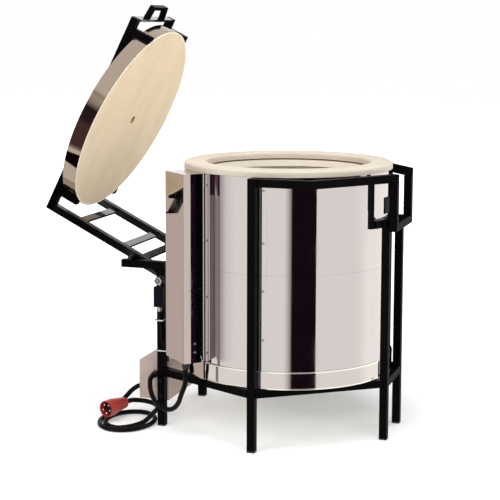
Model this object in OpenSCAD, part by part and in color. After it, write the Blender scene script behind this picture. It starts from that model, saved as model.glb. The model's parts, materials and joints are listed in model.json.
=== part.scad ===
// Round top-loading pottery kiln with a lid on an L-shaped lever, shown open on its stop.
// +X points to the handle side, the lid hinge is at -X, +Z is up, the floor is z = 0.

/* [Kiln body] */
// Outside radius of the casing sheet
casing_r = 340; // [300:1:400]
// Thickness of the casing sheet
sheet = 1.2; // [0.8:0.1:2]
// Height of the casing foot above the floor
casing_z0 = 253; // [230:1:320]
// Height of one casing ring
ring_h = 299.5; // [250:0.5:360]
// Open seam between the casing rings
seam_gap = 0.8; // [0.4:0.1:2]
// Inward top flange of the upper ring
flange_w = 20; // [10:1:40]
// Radius of the rolled edges of the base tray
bead_r = 2; // [1.5:0.1:2.5]
// Step of the base tray beyond the casing
base_step = 5; // [3:0.5:12]
// Height of the base tray
base_h = 56; // [40:1:80]
// Thickness of the base tray sheet
base_sheet = 1.5; // [1:0.1:3]
// Width of the flat closing plate under the terminal box
plate_w = 56; // [30:1:90]
// Direction of the flat closing plate
plate_angle = 233; // [228:1:240]

/* [Collar and chamber] */
// Height of the refractory collar
collar_h = 21.5; // [15:0.5:40]
// Edge radius of the collar
collar_round = 9.5; // [4:0.5:12]
// Inset of the collar from the casing radius
collar_inset = 1; // [0:0.5:10]
// Thickness of the chamber wall with its insulation
wall_t = 74; // [66:1:110]
// Thickness of the chamber bricks
brick_t = 56; // [40:1:58]
// Thickness of the chamber floor brick
floor_t = 48; // [30:1:70]
// Element grooves in one brick course
course_grooves = 3; // [2:1:4]
// Radius of an element groove
groove_r = 6.5; // [5:0.5:9]
// Radius of the wound element, as a round ring
element_r = 4.2; // [3:0.1:6]
// Radius of an element tail
tail_r = 2.5; // [1.5:0.1:4]
// Radius of the thermocouple tube
probe_r = 4; // [2.5:0.1:6]
// Length of the thermocouple inside the chamber
probe_in = 36; // [10:1:60]

/* [Stand] */
// Width of the square tube
tube = 25; // [20:1:32]
// Wall of the square tube
tube_wall = 2; // [1.5:0.1:3]
// Clear space between the base tray and a leg
leg_clear = 3.5; // [2:0.5:10]
// Distance of the hinge legs behind the base tray
hinge_back = 25; // [18:1:40]
// Half spacing of the hinge legs
hinge_leg_y = 190; // [182:1:215]
// Position of the side legs along X
side_leg_x = -4; // [-30:1:30]
// Half spacing of the handle legs
handle_leg_y = 96; // [90:1:105]
// Half spacing of the upper posts
post_y = 106; // [100:1:118]
// Height of the top of the handle-side cross bar
cross_z = 697; // [600:1:710]
// Drop of the top bars below the casing top
top_drop = 1; // [0:0.5:20]
// Space between the casing and the slanted top bars
slant_clear = 10; // [5:0.5:14]
// Width of the thin catch bar
catch_w = 14; // [8:1:18]
// Distance of the catch bar before the handle legs
catch_back = 31; // [26:1:38]
// Height of the catch cross bar above the main cross bar
catch_lift = 15; // [5:0.5:60]
// Width of the blank plate on the casing
blank_w = 120; // [80:1:140]
// Height of the blank plate
blank_h = 52; // [40:1:70]
// Drop of the blank plate below the casing top
blank_drop = 81; // [60:1:100]
// Length of a stop arm
arm_len = 125; // [118:1:180]
// Height of the stop arms
arm_z = 548; // [540:1:560]
// Thickness of the plastic leg caps
cap_t = 5; // [3:0.5:10]

/* [Lid] */
// Step of the lid band inside the casing radius
lid_inset = 9; // [6:1:30]
// Thickness of the lid
lid_t = 50; // [40:1:80]
// Radius of the vent hole in the lid
vent_r = 13; // [6:0.5:20]
// Space between the closed lid and the collar
seat_gap = 0.5; // [0.3:0.1:2]
// Space between the lid back and the lid rails
rail_gap = 17.5; // [12:0.5:30]
// Half spacing of the lever rails
rail_y = 152.5; // [140:0.5:154]
// Space between the casing and the upright lever rails
rail_clear = 18; // [14:0.5:22]
// Overhang of the lid rails beyond the lid
rail_over = 10; // [9:1:40]
// Thickness of the flat front bar
front_t = 8; // [5:0.5:20]
// Width of a ladder rung
rung_w = 26; // [18:1:40]
// Thickness of a ladder rung
rung_t = 8; // [5:0.5:9]
// Height of the hinge bolt
pivot_z = 488; // [470:1:500]
// Opening angle of the lid in the rest pose
open_angle = 63.4; // [63:0.1:64]
// Thickness of a hinge lug
lug_t = 8; // [5:0.5:9]
// Radius of a hinge lug
lug_r = 19; // [15:0.5:22]
// Radius of the hinge bolt
bolt_r = 8; // [6:0.5:9]
spacer_r = 13;
// Running clearance of the hinge bolt in the legs
bolt_play = 0.05; // [0.02:0.01:0.1]
// Radius of the stop pins
stop_r = 7; // [6:0.5:10]
// Half width of the handle foot
handle_foot = 70; // [60:1:80]
// Half width of the handle grip
handle_top = 57; // [50:1:60]
// Width of the handle bar across the loop
handle_w = 11; // [8:0.5:14]
// Depth of the handle bar
handle_d = 20; // [14:1:24]
// Reach of the handle loop
handle_reach = 43; // [40:1:70]

/* [Terminal box] */
// Direction of the terminal box
term_angle = 226.5; // [220:0.5:232]
// Width of the terminal box
term_w = 134; // [120:1:160]
// Depth of the terminal box in front of the casing
term_depth = 70; // [60:1:100]
// Width of the terminal box flange
term_flange = 12; // [8:1:20]

/* [Lid switch] */
// Radius of the switch cam
cam_r = 15; // [13:0.5:18]
// Offset of the switch cam
cam_ecc = 3; // [2:0.1:4]
// Thickness of the switch cam
cam_t = 12; // [8:0.5:14]
// Radius of the switch plunger
plunger_r = 4; // [3:0.1:5]
// Height of the switch body
switch_h = 66; // [50:1:80]
// Width of the switch body
switch_w = 30; // [24:1:36]
// Depth of the switch body
switch_d = 28; // [24:1:34]

/* [Switch box] */
// Depth of the switch box
box_d = 102; // [85:1:140]
// Height of the switch box
box_h = 129; // [100:1:135]
// Height of the switch box above the floor
box_z0 = 82; // [60:1:90]

/* [Cords] */
// Radius of the power cord and the link cable
cord_r = 8; // [5:0.5:8.5]
// Radius of the switch cable
thin_r = 4; // [2.5:0.5:4.5]
// Radius of the plug collar
plug_r = 27; // [24:0.5:32]
// Length of the plug with its nut
plug_len = 105; // [95:1:120]

/* [Fits] */
// Space between pieces that are fastened together
gap = 0.3; // [0.2:0.05:0.5]

/* [Hidden] */
$fn = 96;
base_r = casing_r + base_step;
base_z0 = casing_z0 - base_h;
// The rolled edges stand proud of the tray by half their radius
bead_mid = base_r - bead_r / 2;
seam_z = casing_z0 + ring_h;
casing_z1 = casing_z0 + 2 * ring_h;
collar_z0 = casing_z1 + gap;
collar_z1 = collar_z0 + collar_h;
chamber_r = casing_r - wall_t;
wall_r = chamber_r + brick_t;
lip_r = wall_r + 5;
floor_z0 = casing_z0;
floor_z1 = floor_z0 + floor_t;
brick_z0 = floor_z1 + gap;
brick_z1 = casing_z1 - sheet - gap;
course_h = (brick_z1 - brick_z0) / 3;
groove_x = chamber_r + 3;
half = tube / 2;
core = tube - 2 * tube_wall;
hinge_x = -(base_r + hinge_back);
side_leg_y = base_r + leg_clear + half;
handle_leg_x = sqrt(pow(base_r + leg_clear, 2) - pow(handle_leg_y - half, 2)) + half;
cross_x = handle_leg_x + tube + gap;
leg_z0 = cap_t + gap;
bar_z = base_z0 - gap - half;
top_z1 = casing_z1 - top_drop;
top_z0 = top_z1 - tube;
// Slanted top bars: from the post to the side leg line, clear of the casing
slant_r = casing_r + slant_clear + half;
slant_dir = atan2(post_y, cross_x) + acos(slant_r / norm([cross_x, post_y]));
bend_x = (slant_r - side_leg_y * sin(slant_dir)) / cos(slant_dir);
slant_a = 90 - slant_dir;
bar_over = 8;
bar_in = half * 0.66;
catch_x = handle_leg_x - catch_back;
catch_y = -(side_leg_y - (catch_x - bend_x) * tan(slant_a));
catch_z = cross_z + catch_lift;
hinge_leg = [hinge_x, hinge_leg_y];
side_leg = [side_leg_x, side_leg_y];
handle_leg = [handle_leg_x, handle_leg_y];
tie_z = 275;
tie_top_z = 357;
tie_low_z = 253;
rail_x = -(casing_r + rail_clear);
lid_r = casing_r - lid_inset;
lid_z0 = collar_z1 + seat_gap;
lid_z1 = lid_z0 + lid_t;
rail_z = lid_z1 + rail_gap + half;
rail_end = lid_r + rail_over;
lever_k = rail_x - hinge_x;
rail_out = rail_y + half;
lug_out = rail_out + lug_t;
leg_in = hinge_leg_y - half;
leg_out = hinge_leg_y + half;
rung_d = [355, 182, 104];
// Distance of the stop pins from the hinge along the upright rails, so they land on the stop arms
stop_d = (arm_z + gap + stop_r - pivot_z - lever_k * sin(open_angle)) / cos(open_angle);
clamp_x = sqrt(pow(lid_r, 2) - pow(rail_y, 2));
term_face = casing_r + term_depth;
term_z0 = casing_z0 + gap;
term_z1 = casing_z1;
cam_phase = open_angle / 2;
cam_y0 = leg_out + 0.5;
cam_y1 = cam_y0 + cam_t;
plunger_x = hinge_x + cam_ecc * cos(cam_phase) + 0.2;
plunger_y = -(cam_y0 + cam_t * 0.6);
plunger_z1 = pivot_z + cam_ecc * sin(cam_phase) - cam_r - gap;
switch_z1 = pivot_z - cam_ecc - cam_r - 0.2;
switch_z0 = switch_z1 - switch_h;
switch_y0 = leg_out + gap;
switch_mid_y = -(switch_y0 + switch_d / 2);
gland_z0 = switch_z0 - gap - 16;
box_x1 = hinge_x + half + 5.2;
box_x0 = box_x1 - box_d;
box_y = leg_in - gap;
box_z1 = box_z0 + box_h;
box_bolt_z = [box_z0 + 0.17 * box_h, box_z0 + 0.56 * box_h];
din_len = 1.58 * box_y;
din_h = 35;
din_t = 7.5;
contactor_d = 70;
contactor_w = 45;
contactor_h = 78;
contactor_z = 26;
nose_d = 9;
nose_w = 29;
nose_h = 50;
nut_af = 24;
hex_k = 2 / sqrt(3);
box_gland_len = 24;
box_gland_r = 12;
link_x = hinge_x - half - gap - box_gland_r - 3;
link_z = box_z0 + 86;
feed_y = -95;
feed_z = box_z0 + 16;
top_gland = [hinge_x + 5, -(box_y - 17)];
top_gland_len = 18;
term_gland = [cos(term_angle) * (term_face - 18) - sin(term_angle) * 40,
    sin(term_angle) * (term_face - 18) + cos(term_angle) * 40];
term_gland_z0 = term_z0 - gap - box_gland_len;

// Route of the link cable from the switch box to the terminal box
link_route = [
    [link_x, -(box_y + box_gland_len + 2 * gap), link_z],
    [link_x + 1, -222, link_z - 2],
    [-393, -240, 155],
    [-386, -252, 133],
    [-374, -258, 108],
    [-354, -262, 88],
    [-328, -268, 79],
    [-300, -277, 85],
    [-276, -290, 108],
    [-259, -303, 143],
    [term_gland[0] - 4, term_gland[1] + 6, 180],
    [term_gland[0] - 1, term_gland[1] + 1, term_gland_z0 - 18],
    [term_gland[0], term_gland[1], term_gland_z0 - gap]
];

// Route of the lid switch cable down the hinge leg to the switch box
switch_route = [
    [plunger_x, switch_mid_y, gland_z0 - gap],
    [plunger_x, switch_mid_y, gland_z0 - 12],
    [-366, -212, 352],
    [-366, -208, 330],
    [-365, -207.5, 300],
    [-360, -208, 280],
    [-353, -205, 264],
    [-351.5, -194, 252],
    [-352.2, -183, 247],
    [-355.5, -171, 243.5],
    [-362, -163, 241],
    [top_gland[0], top_gland[1], 237],
    [top_gland[0], top_gland[1], box_z1 + gap + top_gland_len + gap]
];

// Power cord: hand-chosen run from the switch box, then flat turns on the floor, then the rise to the plug
loop_c = [-485, -203];
loop_r0 = 93.2;
loop_oval = 1.27;
loop_pitch = 2 * cord_r + 2;
loop_turns = 1.5;
loop_rings = 24;
floor_cord_z = cord_r + 0.3;
feed_run = [
    [box_x0 - gap - box_gland_len - 2 * gap, feed_y, feed_z],
    [box_x0 - gap - box_gland_len - 12, feed_y, feed_z],
    [-505, -94.5, 91],
    [-523, -96, 76],
    [-543, -104, 52],
    [-562, -122, 27],
    [-574, -146, 12]
];
plug_face = [-556.7, -228.2];
plug_dir = [0.275, 0.961];
key_h = 2.5;
plug_face_z = 2 * floor_cord_z + key_h + plug_r;
plug_tilt = 0;
plug_rear = [plug_face[0] + plug_dir[0] * plug_len * cos(plug_tilt),
    plug_face[1] + plug_dir[1] * plug_len * cos(plug_tilt),
    plug_face_z + plug_len * sin(plug_tilt)];
tail_r0 = 56;
tail_end = [plug_rear[0] + plug_dir[0] * 9, plug_rear[1] + plug_dir[1] * 9];
tail_c = [tail_end[0] + tail_r0 * plug_dir[1], tail_end[1] - tail_r0 * plug_dir[0]];
tail_turn = 180 - atan2(plug_dir[0], plug_dir[1]);

function loop_radius(s) = loop_r0 - loop_pitch * s;
function loop_rise(s) = max(0, 40 * (s - loop_turns + 0.25));
function loop_point(s) = [
    loop_c[0] + loop_radius(s) * cos(180 + 360 * s),
    loop_c[1] + loop_oval * loop_radius(s) * sin(180 + 360 * s),
    floor_cord_z + loop_rise(s)
];
loop_path = [for (i = [0 : loop_rings * loop_turns]) loop_point(i / loop_rings)];
rise_path = [[-417.5, -187, 21.5], [-416.4, -169, 25], [-415.8, -151, 28]];
tail_path = [for (i = [0 : 8]) [
    tail_c[0] + tail_r0 * cos(tail_turn * i / 8),
    tail_c[1] + tail_r0 * sin(tail_turn * i / 8),
    30 + (plug_rear[2] - 30) * min(1, i / 7)
]];
cord_path = concat(feed_run, loop_path, rise_path, tail_path,
    [[plug_rear[0] + plug_dir[0] * gap, plug_rear[1] + plug_dir[1] * gap, plug_rear[2]]]);
cord_near = min([for (i = [0 : len(cord_path) - 1]) for (j = [i + 7 : 1 : len(cord_path) - 1])
    norm(cord_path[i] - cord_path[j])]) - 2 * cord_r;
cord_len = lengths(cord_path, len(cord_path) - 1);
echo(power_cord_self_gap = cord_near, power_cord_length = cord_len);

function lengths(p, i) = i < 1 ? 0 : norm(p[i] - p[i - 1]) + lengths(p, i - 1);
function unit(v) = v / norm(v);
function ends(p, i) = p[max(0, min(len(p) - 1, i))];
function blend(p, i, f) = 0.5 * (2 * p[i] + (p[i + 1] - ends(p, i - 1)) * f
    + (2 * ends(p, i - 1) - 5 * p[i] + 4 * p[i + 1] - ends(p, i + 2)) * f * f
    + (3 * p[i] - ends(p, i - 1) - 3 * p[i + 1] + ends(p, i + 2)) * f * f * f);
function smooth(p, n) = concat([for (i = [0 : len(p) - 2]) for (k = [0 : n - 1]) blend(p, i, k / n)],
    [p[len(p) - 1]]);
function headings(p) = [for (i = [0 : len(p) - 1]) unit(ends(p, i + 1) - ends(p, i - 1))];
function first_side(h) = unit(cross(h, abs(h[2]) < 0.9 ? [0, 0, 1] : [1, 0, 0]));
function carry(h, i) = i == 0 ? first_side(h[0]) : carried(h[i], carry(h, i - 1));
function carried(d, s) = unit(s - (s * d) * d);
function plan_angle(p, q) = atan2(q[1] - p[1], q[0] - p[0]);

module swept(p, r, n) {
    h = headings(p);
    last = len(p) - 1;
    pts = [for (i = [0 : last]) let (s = carry(h, i), b = cross(h[i], s)) for (k = [0 : n - 1])
        p[i] + r * (cos(360 * k / n) * s + sin(360 * k / n) * b)];
    walls = [for (i = [0 : last - 1]) for (k = [0 : n - 1]) for (f = [0, 1])
        f == 0 ? [i * n + k, (i + 1) * n + k, (i + 1) * n + (k + 1) % n]
            : [i * n + k, (i + 1) * n + (k + 1) % n, i * n + (k + 1) % n]];
    caps = [[for (k = [0 : n - 1]) k], [for (k = [n - 1 : -1 : 0]) last * n + k]];
    polyhedron(points = pts, faces = concat(walls, caps), convexity = 8);
}

module post(p, z0, z1, w) {
    translate([p[0] - w / 2, p[1] - w / 2, z0])
        cube([w, w, z1 - z0]);
}

module bar(p, q, z, w, inset = 0) {
    translate([p[0], p[1], z])
        rotate([0, 0, plan_angle(p, q)])
            translate([inset, -w / 2, -w / 2])
                cube([norm(q - p) - 2 * inset, w, w]);
}

module ring(r0, r1, z0, z1) {
    translate([0, 0, z0])
        rotate_extrude()
            translate([r0, 0])
                square([r1 - r0, z1 - z0]);
}

module along_x(r, x0, x1, n = 48) {
    translate([x0, 0, 0])
        rotate([0, 90, 0])
            cylinder(r = r, h = x1 - x0, $fn = n);
}

module along_y(r, y0, y1, n = 48) {
    translate([0, y0, 0])
        rotate([-90, 0, 0])
            cylinder(r = r, h = y1 - y0, $fn = n);
}

// Round screw head with a slot, standing on z = 0
module screw_head(r, h) {
    difference() {
        union() {
            cylinder(r = r, h = h * 0.6, $fn = 32);
            cylinder(r1 = r, r2 = r * 0.7, h = h, $fn = 32);
        }
        translate([-r, -r * 0.12, h * 0.6])
            cube([2 * r, r * 0.24, h]);
    }
}

module lid_pose() {
    translate([hinge_x, 0, pivot_z])
        rotate([0, -open_angle, 0])
            translate([-hinge_x, 0, -pivot_z])
                children();
}

module both_sides() {
    children();
    mirror([0, 1, 0])
        children();
}

module term_window() {
    rotate([0, 0, term_angle])
        translate([wall_r - 1, -45, brick_z0 + 25])
            cube([60, 90, brick_z1 - brick_z0 - 50]);
}

module at_tails() {
    for (c = [0 : 2])
        for (g = [0 : course_grooves - 1])
            for (s = [-1, 1])
                rotate([0, 0, term_angle + s * 4])
                    translate([0, 0, brick_z0 + course_h * (c + (g + 0.5) / course_grooves)])
                        children();
}

// Middle of the whole length, from the lid lever's corner to the ends of the top bars
corner_x = hinge_x + (rail_x - half - hinge_x) * cos(open_angle)
    - (rail_z + half - pivot_z) * sin(open_angle);
bar_end_x = cross_x + bar_over * cos(slant_a) + half * sin(slant_a);
middle_x = (corner_x + bar_end_x) / 2;

module in_frame() {
    translate([-middle_x, 0, 0])
        children();
}

probe_z = brick_z0 + course_h * (1 + 1 / course_grooves);

// Stand

module leg_boxes(grow) {
    both_sides() {
        post(hinge_leg, 0, arm_z, tube + 2 * grow);
        post(side_leg, 0, top_z1, tube + 2 * grow);
        post(handle_leg, 0, cross_z, tube + 2 * grow);
    }
}

module hinge_legs() {
    color([0.06, 0.06, 0.06]) in_frame()
        difference() {
            both_sides()
                post(hinge_leg, leg_z0, arm_z, tube);
            both_sides()
                post(hinge_leg, leg_z0 - 1, arm_z - tube_wall, core);
            translate([hinge_x, 0, pivot_z])
                along_y(bolt_r + bolt_play, -leg_out - 1, leg_out + 1);
            for (z = box_bolt_z)
                translate([hinge_x, 0, z])
                    both_sides()
                        along_y(4.3, leg_in - 1, leg_out + 1);
        }
}

module stop_arm(w, x0, x1) {
    translate([x0, hinge_leg_y - w / 2, arm_z - half - w / 2])
        cube([x1 - x0, w, w]);
}

module gusset() {
    translate([hinge_x - half - gap, hinge_leg_y + 3, arm_z - tube + 0.5])
        rotate([90, 0, 0])
            linear_extrude(height = 6)
                polygon([[0, 0], [-22, 0], [0, -20]]);
}

// Stop arms on the hinge legs, and the tie between these legs
module hinge_bars() {
    arm_x = hinge_x - half - gap;
    color([0.06, 0.06, 0.06]) in_frame() {
        both_sides()
            difference() {
                union() {
                    stop_arm(tube, arm_x - arm_len, arm_x);
                    gusset();
                }
                stop_arm(core, arm_x - arm_len + tube_wall, arm_x + 1);
            }
        difference() {
            bar([hinge_x, -leg_in + gap], [hinge_x, leg_in - gap], tie_z, tube);
            bar([hinge_x, -leg_in], [hinge_x, leg_in], tie_z, core);
        }
    }
}

// One half of the bent top bar, cut square to the mitre
module top_straight(w, z0, z1, x0) {
    h = w / 2;
    k = tan(slant_a / 2) * h;
    translate([0, 0, z0])
        linear_extrude(height = z1 - z0)
            polygon([
                [x0, side_leg_y + h],
                [bend_x + k - gap, side_leg_y + h],
                [bend_x - k - gap, side_leg_y - h],
                [x0, side_leg_y - h]
            ]);
}

module top_slant(w, z0, z1, over) {
    h = w / 2;
    k = tan(slant_a / 2) * h;
    along = [cos(slant_a), -sin(slant_a)];
    across = [sin(slant_a), cos(slant_a)];
    end = [cross_x, post_y] + over * along;
    translate([0, 0, z0])
        linear_extrude(height = z1 - z0)
            polygon([
                [bend_x + k, side_leg_y + h],
                end + h * across,
                end - h * across,
                [bend_x - k, side_leg_y - h]
            ]);
}

module top_bars() {
    color([0.06, 0.06, 0.06]) in_frame()
        both_sides() {
            difference() {
                top_straight(tube, top_z0, top_z1, side_leg_x - half);
                top_straight(core, top_z0 + tube_wall, top_z1 - tube_wall, side_leg_x - half + tube_wall);
                translate([bend_x - half, side_leg_y - core / 2, top_z0 + tube_wall])
                    cube([tube, core, core]);
            }
            difference() {
                top_slant(tube, top_z0, top_z1, bar_over);
                top_slant(core, top_z0 + tube_wall, top_z1 - tube_wall, bar_over - tube_wall);
            }
        }
}

module side_legs() {
    color([0.06, 0.06, 0.06]) in_frame()
        both_sides()
            difference() {
                post(side_leg, leg_z0, top_z0 - gap, tube);
                post(side_leg, leg_z0 - 1, top_z0 + 1, core);
            }
}

module handle_legs() {
    color([0.06, 0.06, 0.06]) in_frame()
        difference() {
            union() {
                post([handle_leg_x, -handle_leg_y], leg_z0, catch_z, tube);
                post(handle_leg, leg_z0, cross_z, tube);
            }
            both_sides()
                post(handle_leg, leg_z0 - 1, cross_z - tube_wall, core);
        }
}

module cross_bar() {
    color([0.06, 0.06, 0.06]) in_frame()
        difference() {
            bar([cross_x, -post_y - half], [cross_x, post_y + half], cross_z - half, tube);
            bar([cross_x, -post_y - half + tube_wall], [cross_x, post_y + half + 1], cross_z - half, core);
        }
}

module handle_posts() {
    color([0.06, 0.06, 0.06]) in_frame()
        both_sides()
            difference() {
                post([cross_x, post_y], cross_z + gap, top_z0 - gap, tube);
                post([cross_x, post_y], cross_z, top_z0, core);
            }
}

module catch_upright(grow) {
    w = catch_w + 2 * grow;
    translate([catch_x, catch_y, catch_z - tube])
        rotate([0, 0, slant_a])
            translate([-w / 2, -w / 2, 0])
                cube([w, w, top_z0 - gap - catch_z + tube]);
}

// Thin upright with its cross piece
module catch_bars() {
    color([0.06, 0.06, 0.06]) in_frame() {
        catch_upright(0);
        difference() {
            bar([catch_x, catch_y], [handle_leg_x, -handle_leg_y], catch_z - half, tube, catch_w * 0.78);
            catch_upright(gap);
            post([handle_leg_x, -handle_leg_y], 0, catch_z + 1, tube + 2 * gap);
        }
    }
}

module frame_base() {
    color([0.06, 0.06, 0.06]) in_frame()
        difference() {
            union() {
                both_sides() {
                    bar(hinge_leg, side_leg, bar_z, tube, bar_in);
                    bar(side_leg, handle_leg, bar_z, tube, bar_in);
                }
                bar([handle_leg_x, -handle_leg_y], handle_leg, bar_z, tube);
            }
            leg_boxes(gap);
            translate([box_x0, -box_y - gap, box_z0 - gap])
                cube([box_d + gap, 2 * box_y + 2 * gap, box_h + 2 * gap]);
        }
}

module leg_caps() {
    color([0.03, 0.03, 0.03]) in_frame()
        both_sides()
            for (p = [hinge_leg, side_leg, handle_leg]) {
                post(p, 0, cap_t, tube);
                post(p, cap_t - 0.5, cap_t + 12, core - 2 * gap);
            }
}

// Body

module base_tray() {
    color([0.75, 0.75, 0.74]) in_frame()
        translate([0, 0, base_z0]) {
            difference() {
                union() {
                    cylinder(r = base_r, h = base_h - gap);
                    for (z = [bead_r, base_h - gap - bead_r])
                        translate([0, 0, z])
                            rotate_extrude()
                                translate([bead_mid, 0])
                                    circle(r = bead_r, $fn = 32);
                }
                translate([0, 0, base_sheet])
                    cylinder(r = base_r - base_sheet, h = base_h - gap - 2 * base_sheet);
                cylinder(r = lip_r, h = base_h + 1);
            }
            cylinder(r = lip_r + 1, h = base_sheet);
        }
}

module base_plate() {
    color([0.75, 0.75, 0.74]) in_frame()
        rotate([0, 0, plate_angle])
            translate([bead_mid + bead_r + gap, -plate_w / 2, base_z0])
                cube([base_sheet, plate_w, term_z0 - gap - base_z0]);
}

lap_angle = 270 + asin((side_leg_x + half) / casing_r) + 0.4;
lap_deg = 4;

module lap_strip(z0, z1) {
    translate([0, 0, z0])
        rotate([0, 0, lap_angle])
            rotate_extrude(angle = lap_deg)
                translate([casing_r - 0.3, 0])
                    square([1.3, z1 - z0]);
}

module casing_lower() {
    z0 = casing_z0;
    z1 = seam_z - seam_gap / 2;
    color([0.78, 0.78, 0.77]) in_frame()
        difference() {
            union() {
                ring(casing_r - sheet, casing_r, z0, z1);
                ring(casing_r - 2 * sheet - gap, casing_r - sheet + 0.1, z1 - 12, z1 - 2);
                ring(casing_r - 2 * sheet - gap, casing_r - sheet - gap, z1 - 2.1, z1 + 10);
                lap_strip(z0, z1);
            }
            term_window();
        }
}

module casing_upper() {
    z0 = seam_z + seam_gap / 2;
    color([0.78, 0.78, 0.77]) in_frame()
        difference() {
            union() {
                ring(casing_r - sheet, casing_r, z0, casing_z1);
                ring(casing_r - flange_w, casing_r, casing_z1 - sheet, casing_z1);
                lap_strip(z0, casing_z1 - 6);
            }
            term_window();
        }
}

module casing_screws() {
    color([0.8, 0.8, 0.8]) in_frame()
        for (z = [casing_z0 + 97, seam_z - 50, seam_z + 98, casing_z1 - 40])
            rotate([0, 0, lap_angle + lap_deg * 0.55])
                translate([casing_r + 1 + gap, 0, z])
                    rotate([0, 90, 0])
                        screw_head(4.2, 2.6);
}

module blank_plate() {
    z0 = casing_z1 - blank_drop - blank_h;
    color([0.08, 0.08, 0.08]) in_frame()
        intersection() {
            ring(casing_r + gap, casing_r + gap + 2 * sheet, z0, z0 + blank_h);
            translate([0, -blank_w / 2, z0 - 1])
                cube([base_r + tube, blank_w, blank_h + 2]);
        }
}

module floor_board() {
    color([0.85, 0.84, 0.8]) in_frame()
        translate([0, 0, base_z0 + base_sheet + gap])
            cylinder(r = base_r - base_sheet - gap, h = base_h - 2 * base_sheet - 3 * gap);
}

module floor_brick() {
    color([0.9, 0.84, 0.7]) in_frame()
        translate([0, 0, floor_z0])
            cylinder(r = wall_r, h = floor_t);
}

module brick_course(c) {
    z0 = brick_z0 + course_h * c;
    color([0.92, 0.86, 0.72]) in_frame()
        difference() {
            translate([0, 0, z0])
                rotate_extrude()
                    difference() {
                        translate([chamber_r, 0])
                            square([brick_t, course_h - gap]);
                        for (g = [0 : course_grooves - 1])
                            translate([groove_x, course_h * (g + 0.5) / course_grooves])
                                circle(r = groove_r, $fn = 48);
                    }
            at_tails()
                along_x(tail_r + gap, chamber_r, wall_r + 5, 24);
            rotate([0, 0, term_angle])
                translate([0, 0, probe_z])
                    along_x(probe_r + gap, chamber_r - 5, wall_r + 5, 32);
        }
}

module brick_lower() {
    brick_course(0);
}

module brick_middle() {
    brick_course(1);
}

module brick_upper() {
    brick_course(2);
}

module blanket() {
    color([0.93, 0.92, 0.88]) in_frame()
        difference() {
            ring(wall_r + gap, casing_r - 2 * sheet - 3 * gap, casing_z0 + gap, brick_z1);
            term_window();
        }
}

module collar() {
    r0 = chamber_r;
    r1 = casing_r - collar_inset;
    color([0.95, 0.9, 0.78]) in_frame()
        translate([0, 0, collar_z0])
            rotate_extrude()
                union() {
                    translate([r0 + collar_round, 0])
                        square([r1 - r0 - 2 * collar_round, collar_h]);
                    translate([r0, 0])
                        square([r1 - r0, collar_h - collar_round]);
                    for (x = [r0 + collar_round, r1 - collar_round])
                        translate([x, collar_h - collar_round])
                            circle(r = collar_round, $fn = 64);
                }
}

module elements() {
    color([0.42, 0.38, 0.34]) in_frame()
        for (c = [0 : 2])
            for (g = [0 : course_grooves - 1])
                translate([0, 0, brick_z0 + course_h * (c + (g + 0.5) / course_grooves)])
                    rotate_extrude()
                        translate([groove_x, 0])
                            circle(r = element_r, $fn = 24);
}

// Ceramic strip in the terminal box, and the head of the probe on it
strip_x = casing_r + 17;
strip_t = 9;
strip_w = 116;
strip_margin = 15;
foot_r = 5;
foot_y = strip_w / 2 - 6;
foot_in = 8;
head_t = 16;
head_w = 26;
head_h = 22;

module element_tails() {
    color([0.5, 0.47, 0.43]) in_frame()
        at_tails()
            along_x(tail_r, groove_x + element_r + gap, strip_x + strip_t + 8, 24);
}

module thermocouple() {
    color([0.9, 0.88, 0.84]) in_frame()
        rotate([0, 0, term_angle])
            translate([0, 0, probe_z]) {
                along_x(probe_r, chamber_r - probe_in, strip_x + strip_t + gap + 1, 32);
                translate([strip_x + strip_t + gap, -head_w / 2, -head_h / 2])
                    cube([head_t, head_w, head_h]);
            }
}

module terminal_strip() {
    z0 = brick_z0 + strip_margin;
    z1 = brick_z1 - strip_margin;
    foot_x = sqrt(pow(casing_r, 2) - pow(foot_y - foot_r, 2)) + gap;
    color([0.93, 0.91, 0.86]) in_frame()
        difference() {
            rotate([0, 0, term_angle]) {
                translate([strip_x, -strip_w / 2, z0])
                    cube([strip_t, strip_w, z1 - z0]);
                for (y = [-foot_y, foot_y])
                    for (z = [z0 + foot_in, z1 - foot_in])
                        translate([0, y, z])
                            along_x(foot_r, foot_x, strip_x + 1, 24);
            }
            at_tails()
                along_x(tail_r + gap, strip_x - 5, strip_x + strip_t + 5, 24);
            rotate([0, 0, term_angle])
                translate([0, 0, probe_z])
                    along_x(probe_r + gap, strip_x - 5, strip_x + strip_t + 5, 32);
        }
}

module terminal_cover() {
    w = term_w / 2;
    h = term_z1 - term_z0;
    color([0.78, 0.78, 0.77]) in_frame()
        difference() {
            rotate([0, 0, term_angle])
                union() {
                    difference() {
                        translate([casing_r - 30, -w, term_z0])
                            cube([term_depth + 30, term_w, h]);
                        translate([casing_r - 40, -w + sheet, term_z0 + sheet])
                            cube([term_depth + 40 - sheet, term_w - 2 * sheet, h - 2 * sheet]);
                        translate([0, 0, term_z0 - 1])
                            cylinder(r = casing_r + gap + sheet / 2, h = h + 2);
                    }
                    for (y = [-w - term_flange, w - sheet])
                        intersection() {
                            ring(casing_r + gap, casing_r + gap + sheet, term_z0 + 2, term_z1 - 2);
                            translate([casing_r - 40, y, term_z0])
                                cube([60, term_flange + sheet, h]);
                        }
                }
            translate([term_gland[0], term_gland[1], term_z0 - 1])
                cylinder(r = cord_r + 0.6, h = 5, $fn = 48);
        }
}

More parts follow.
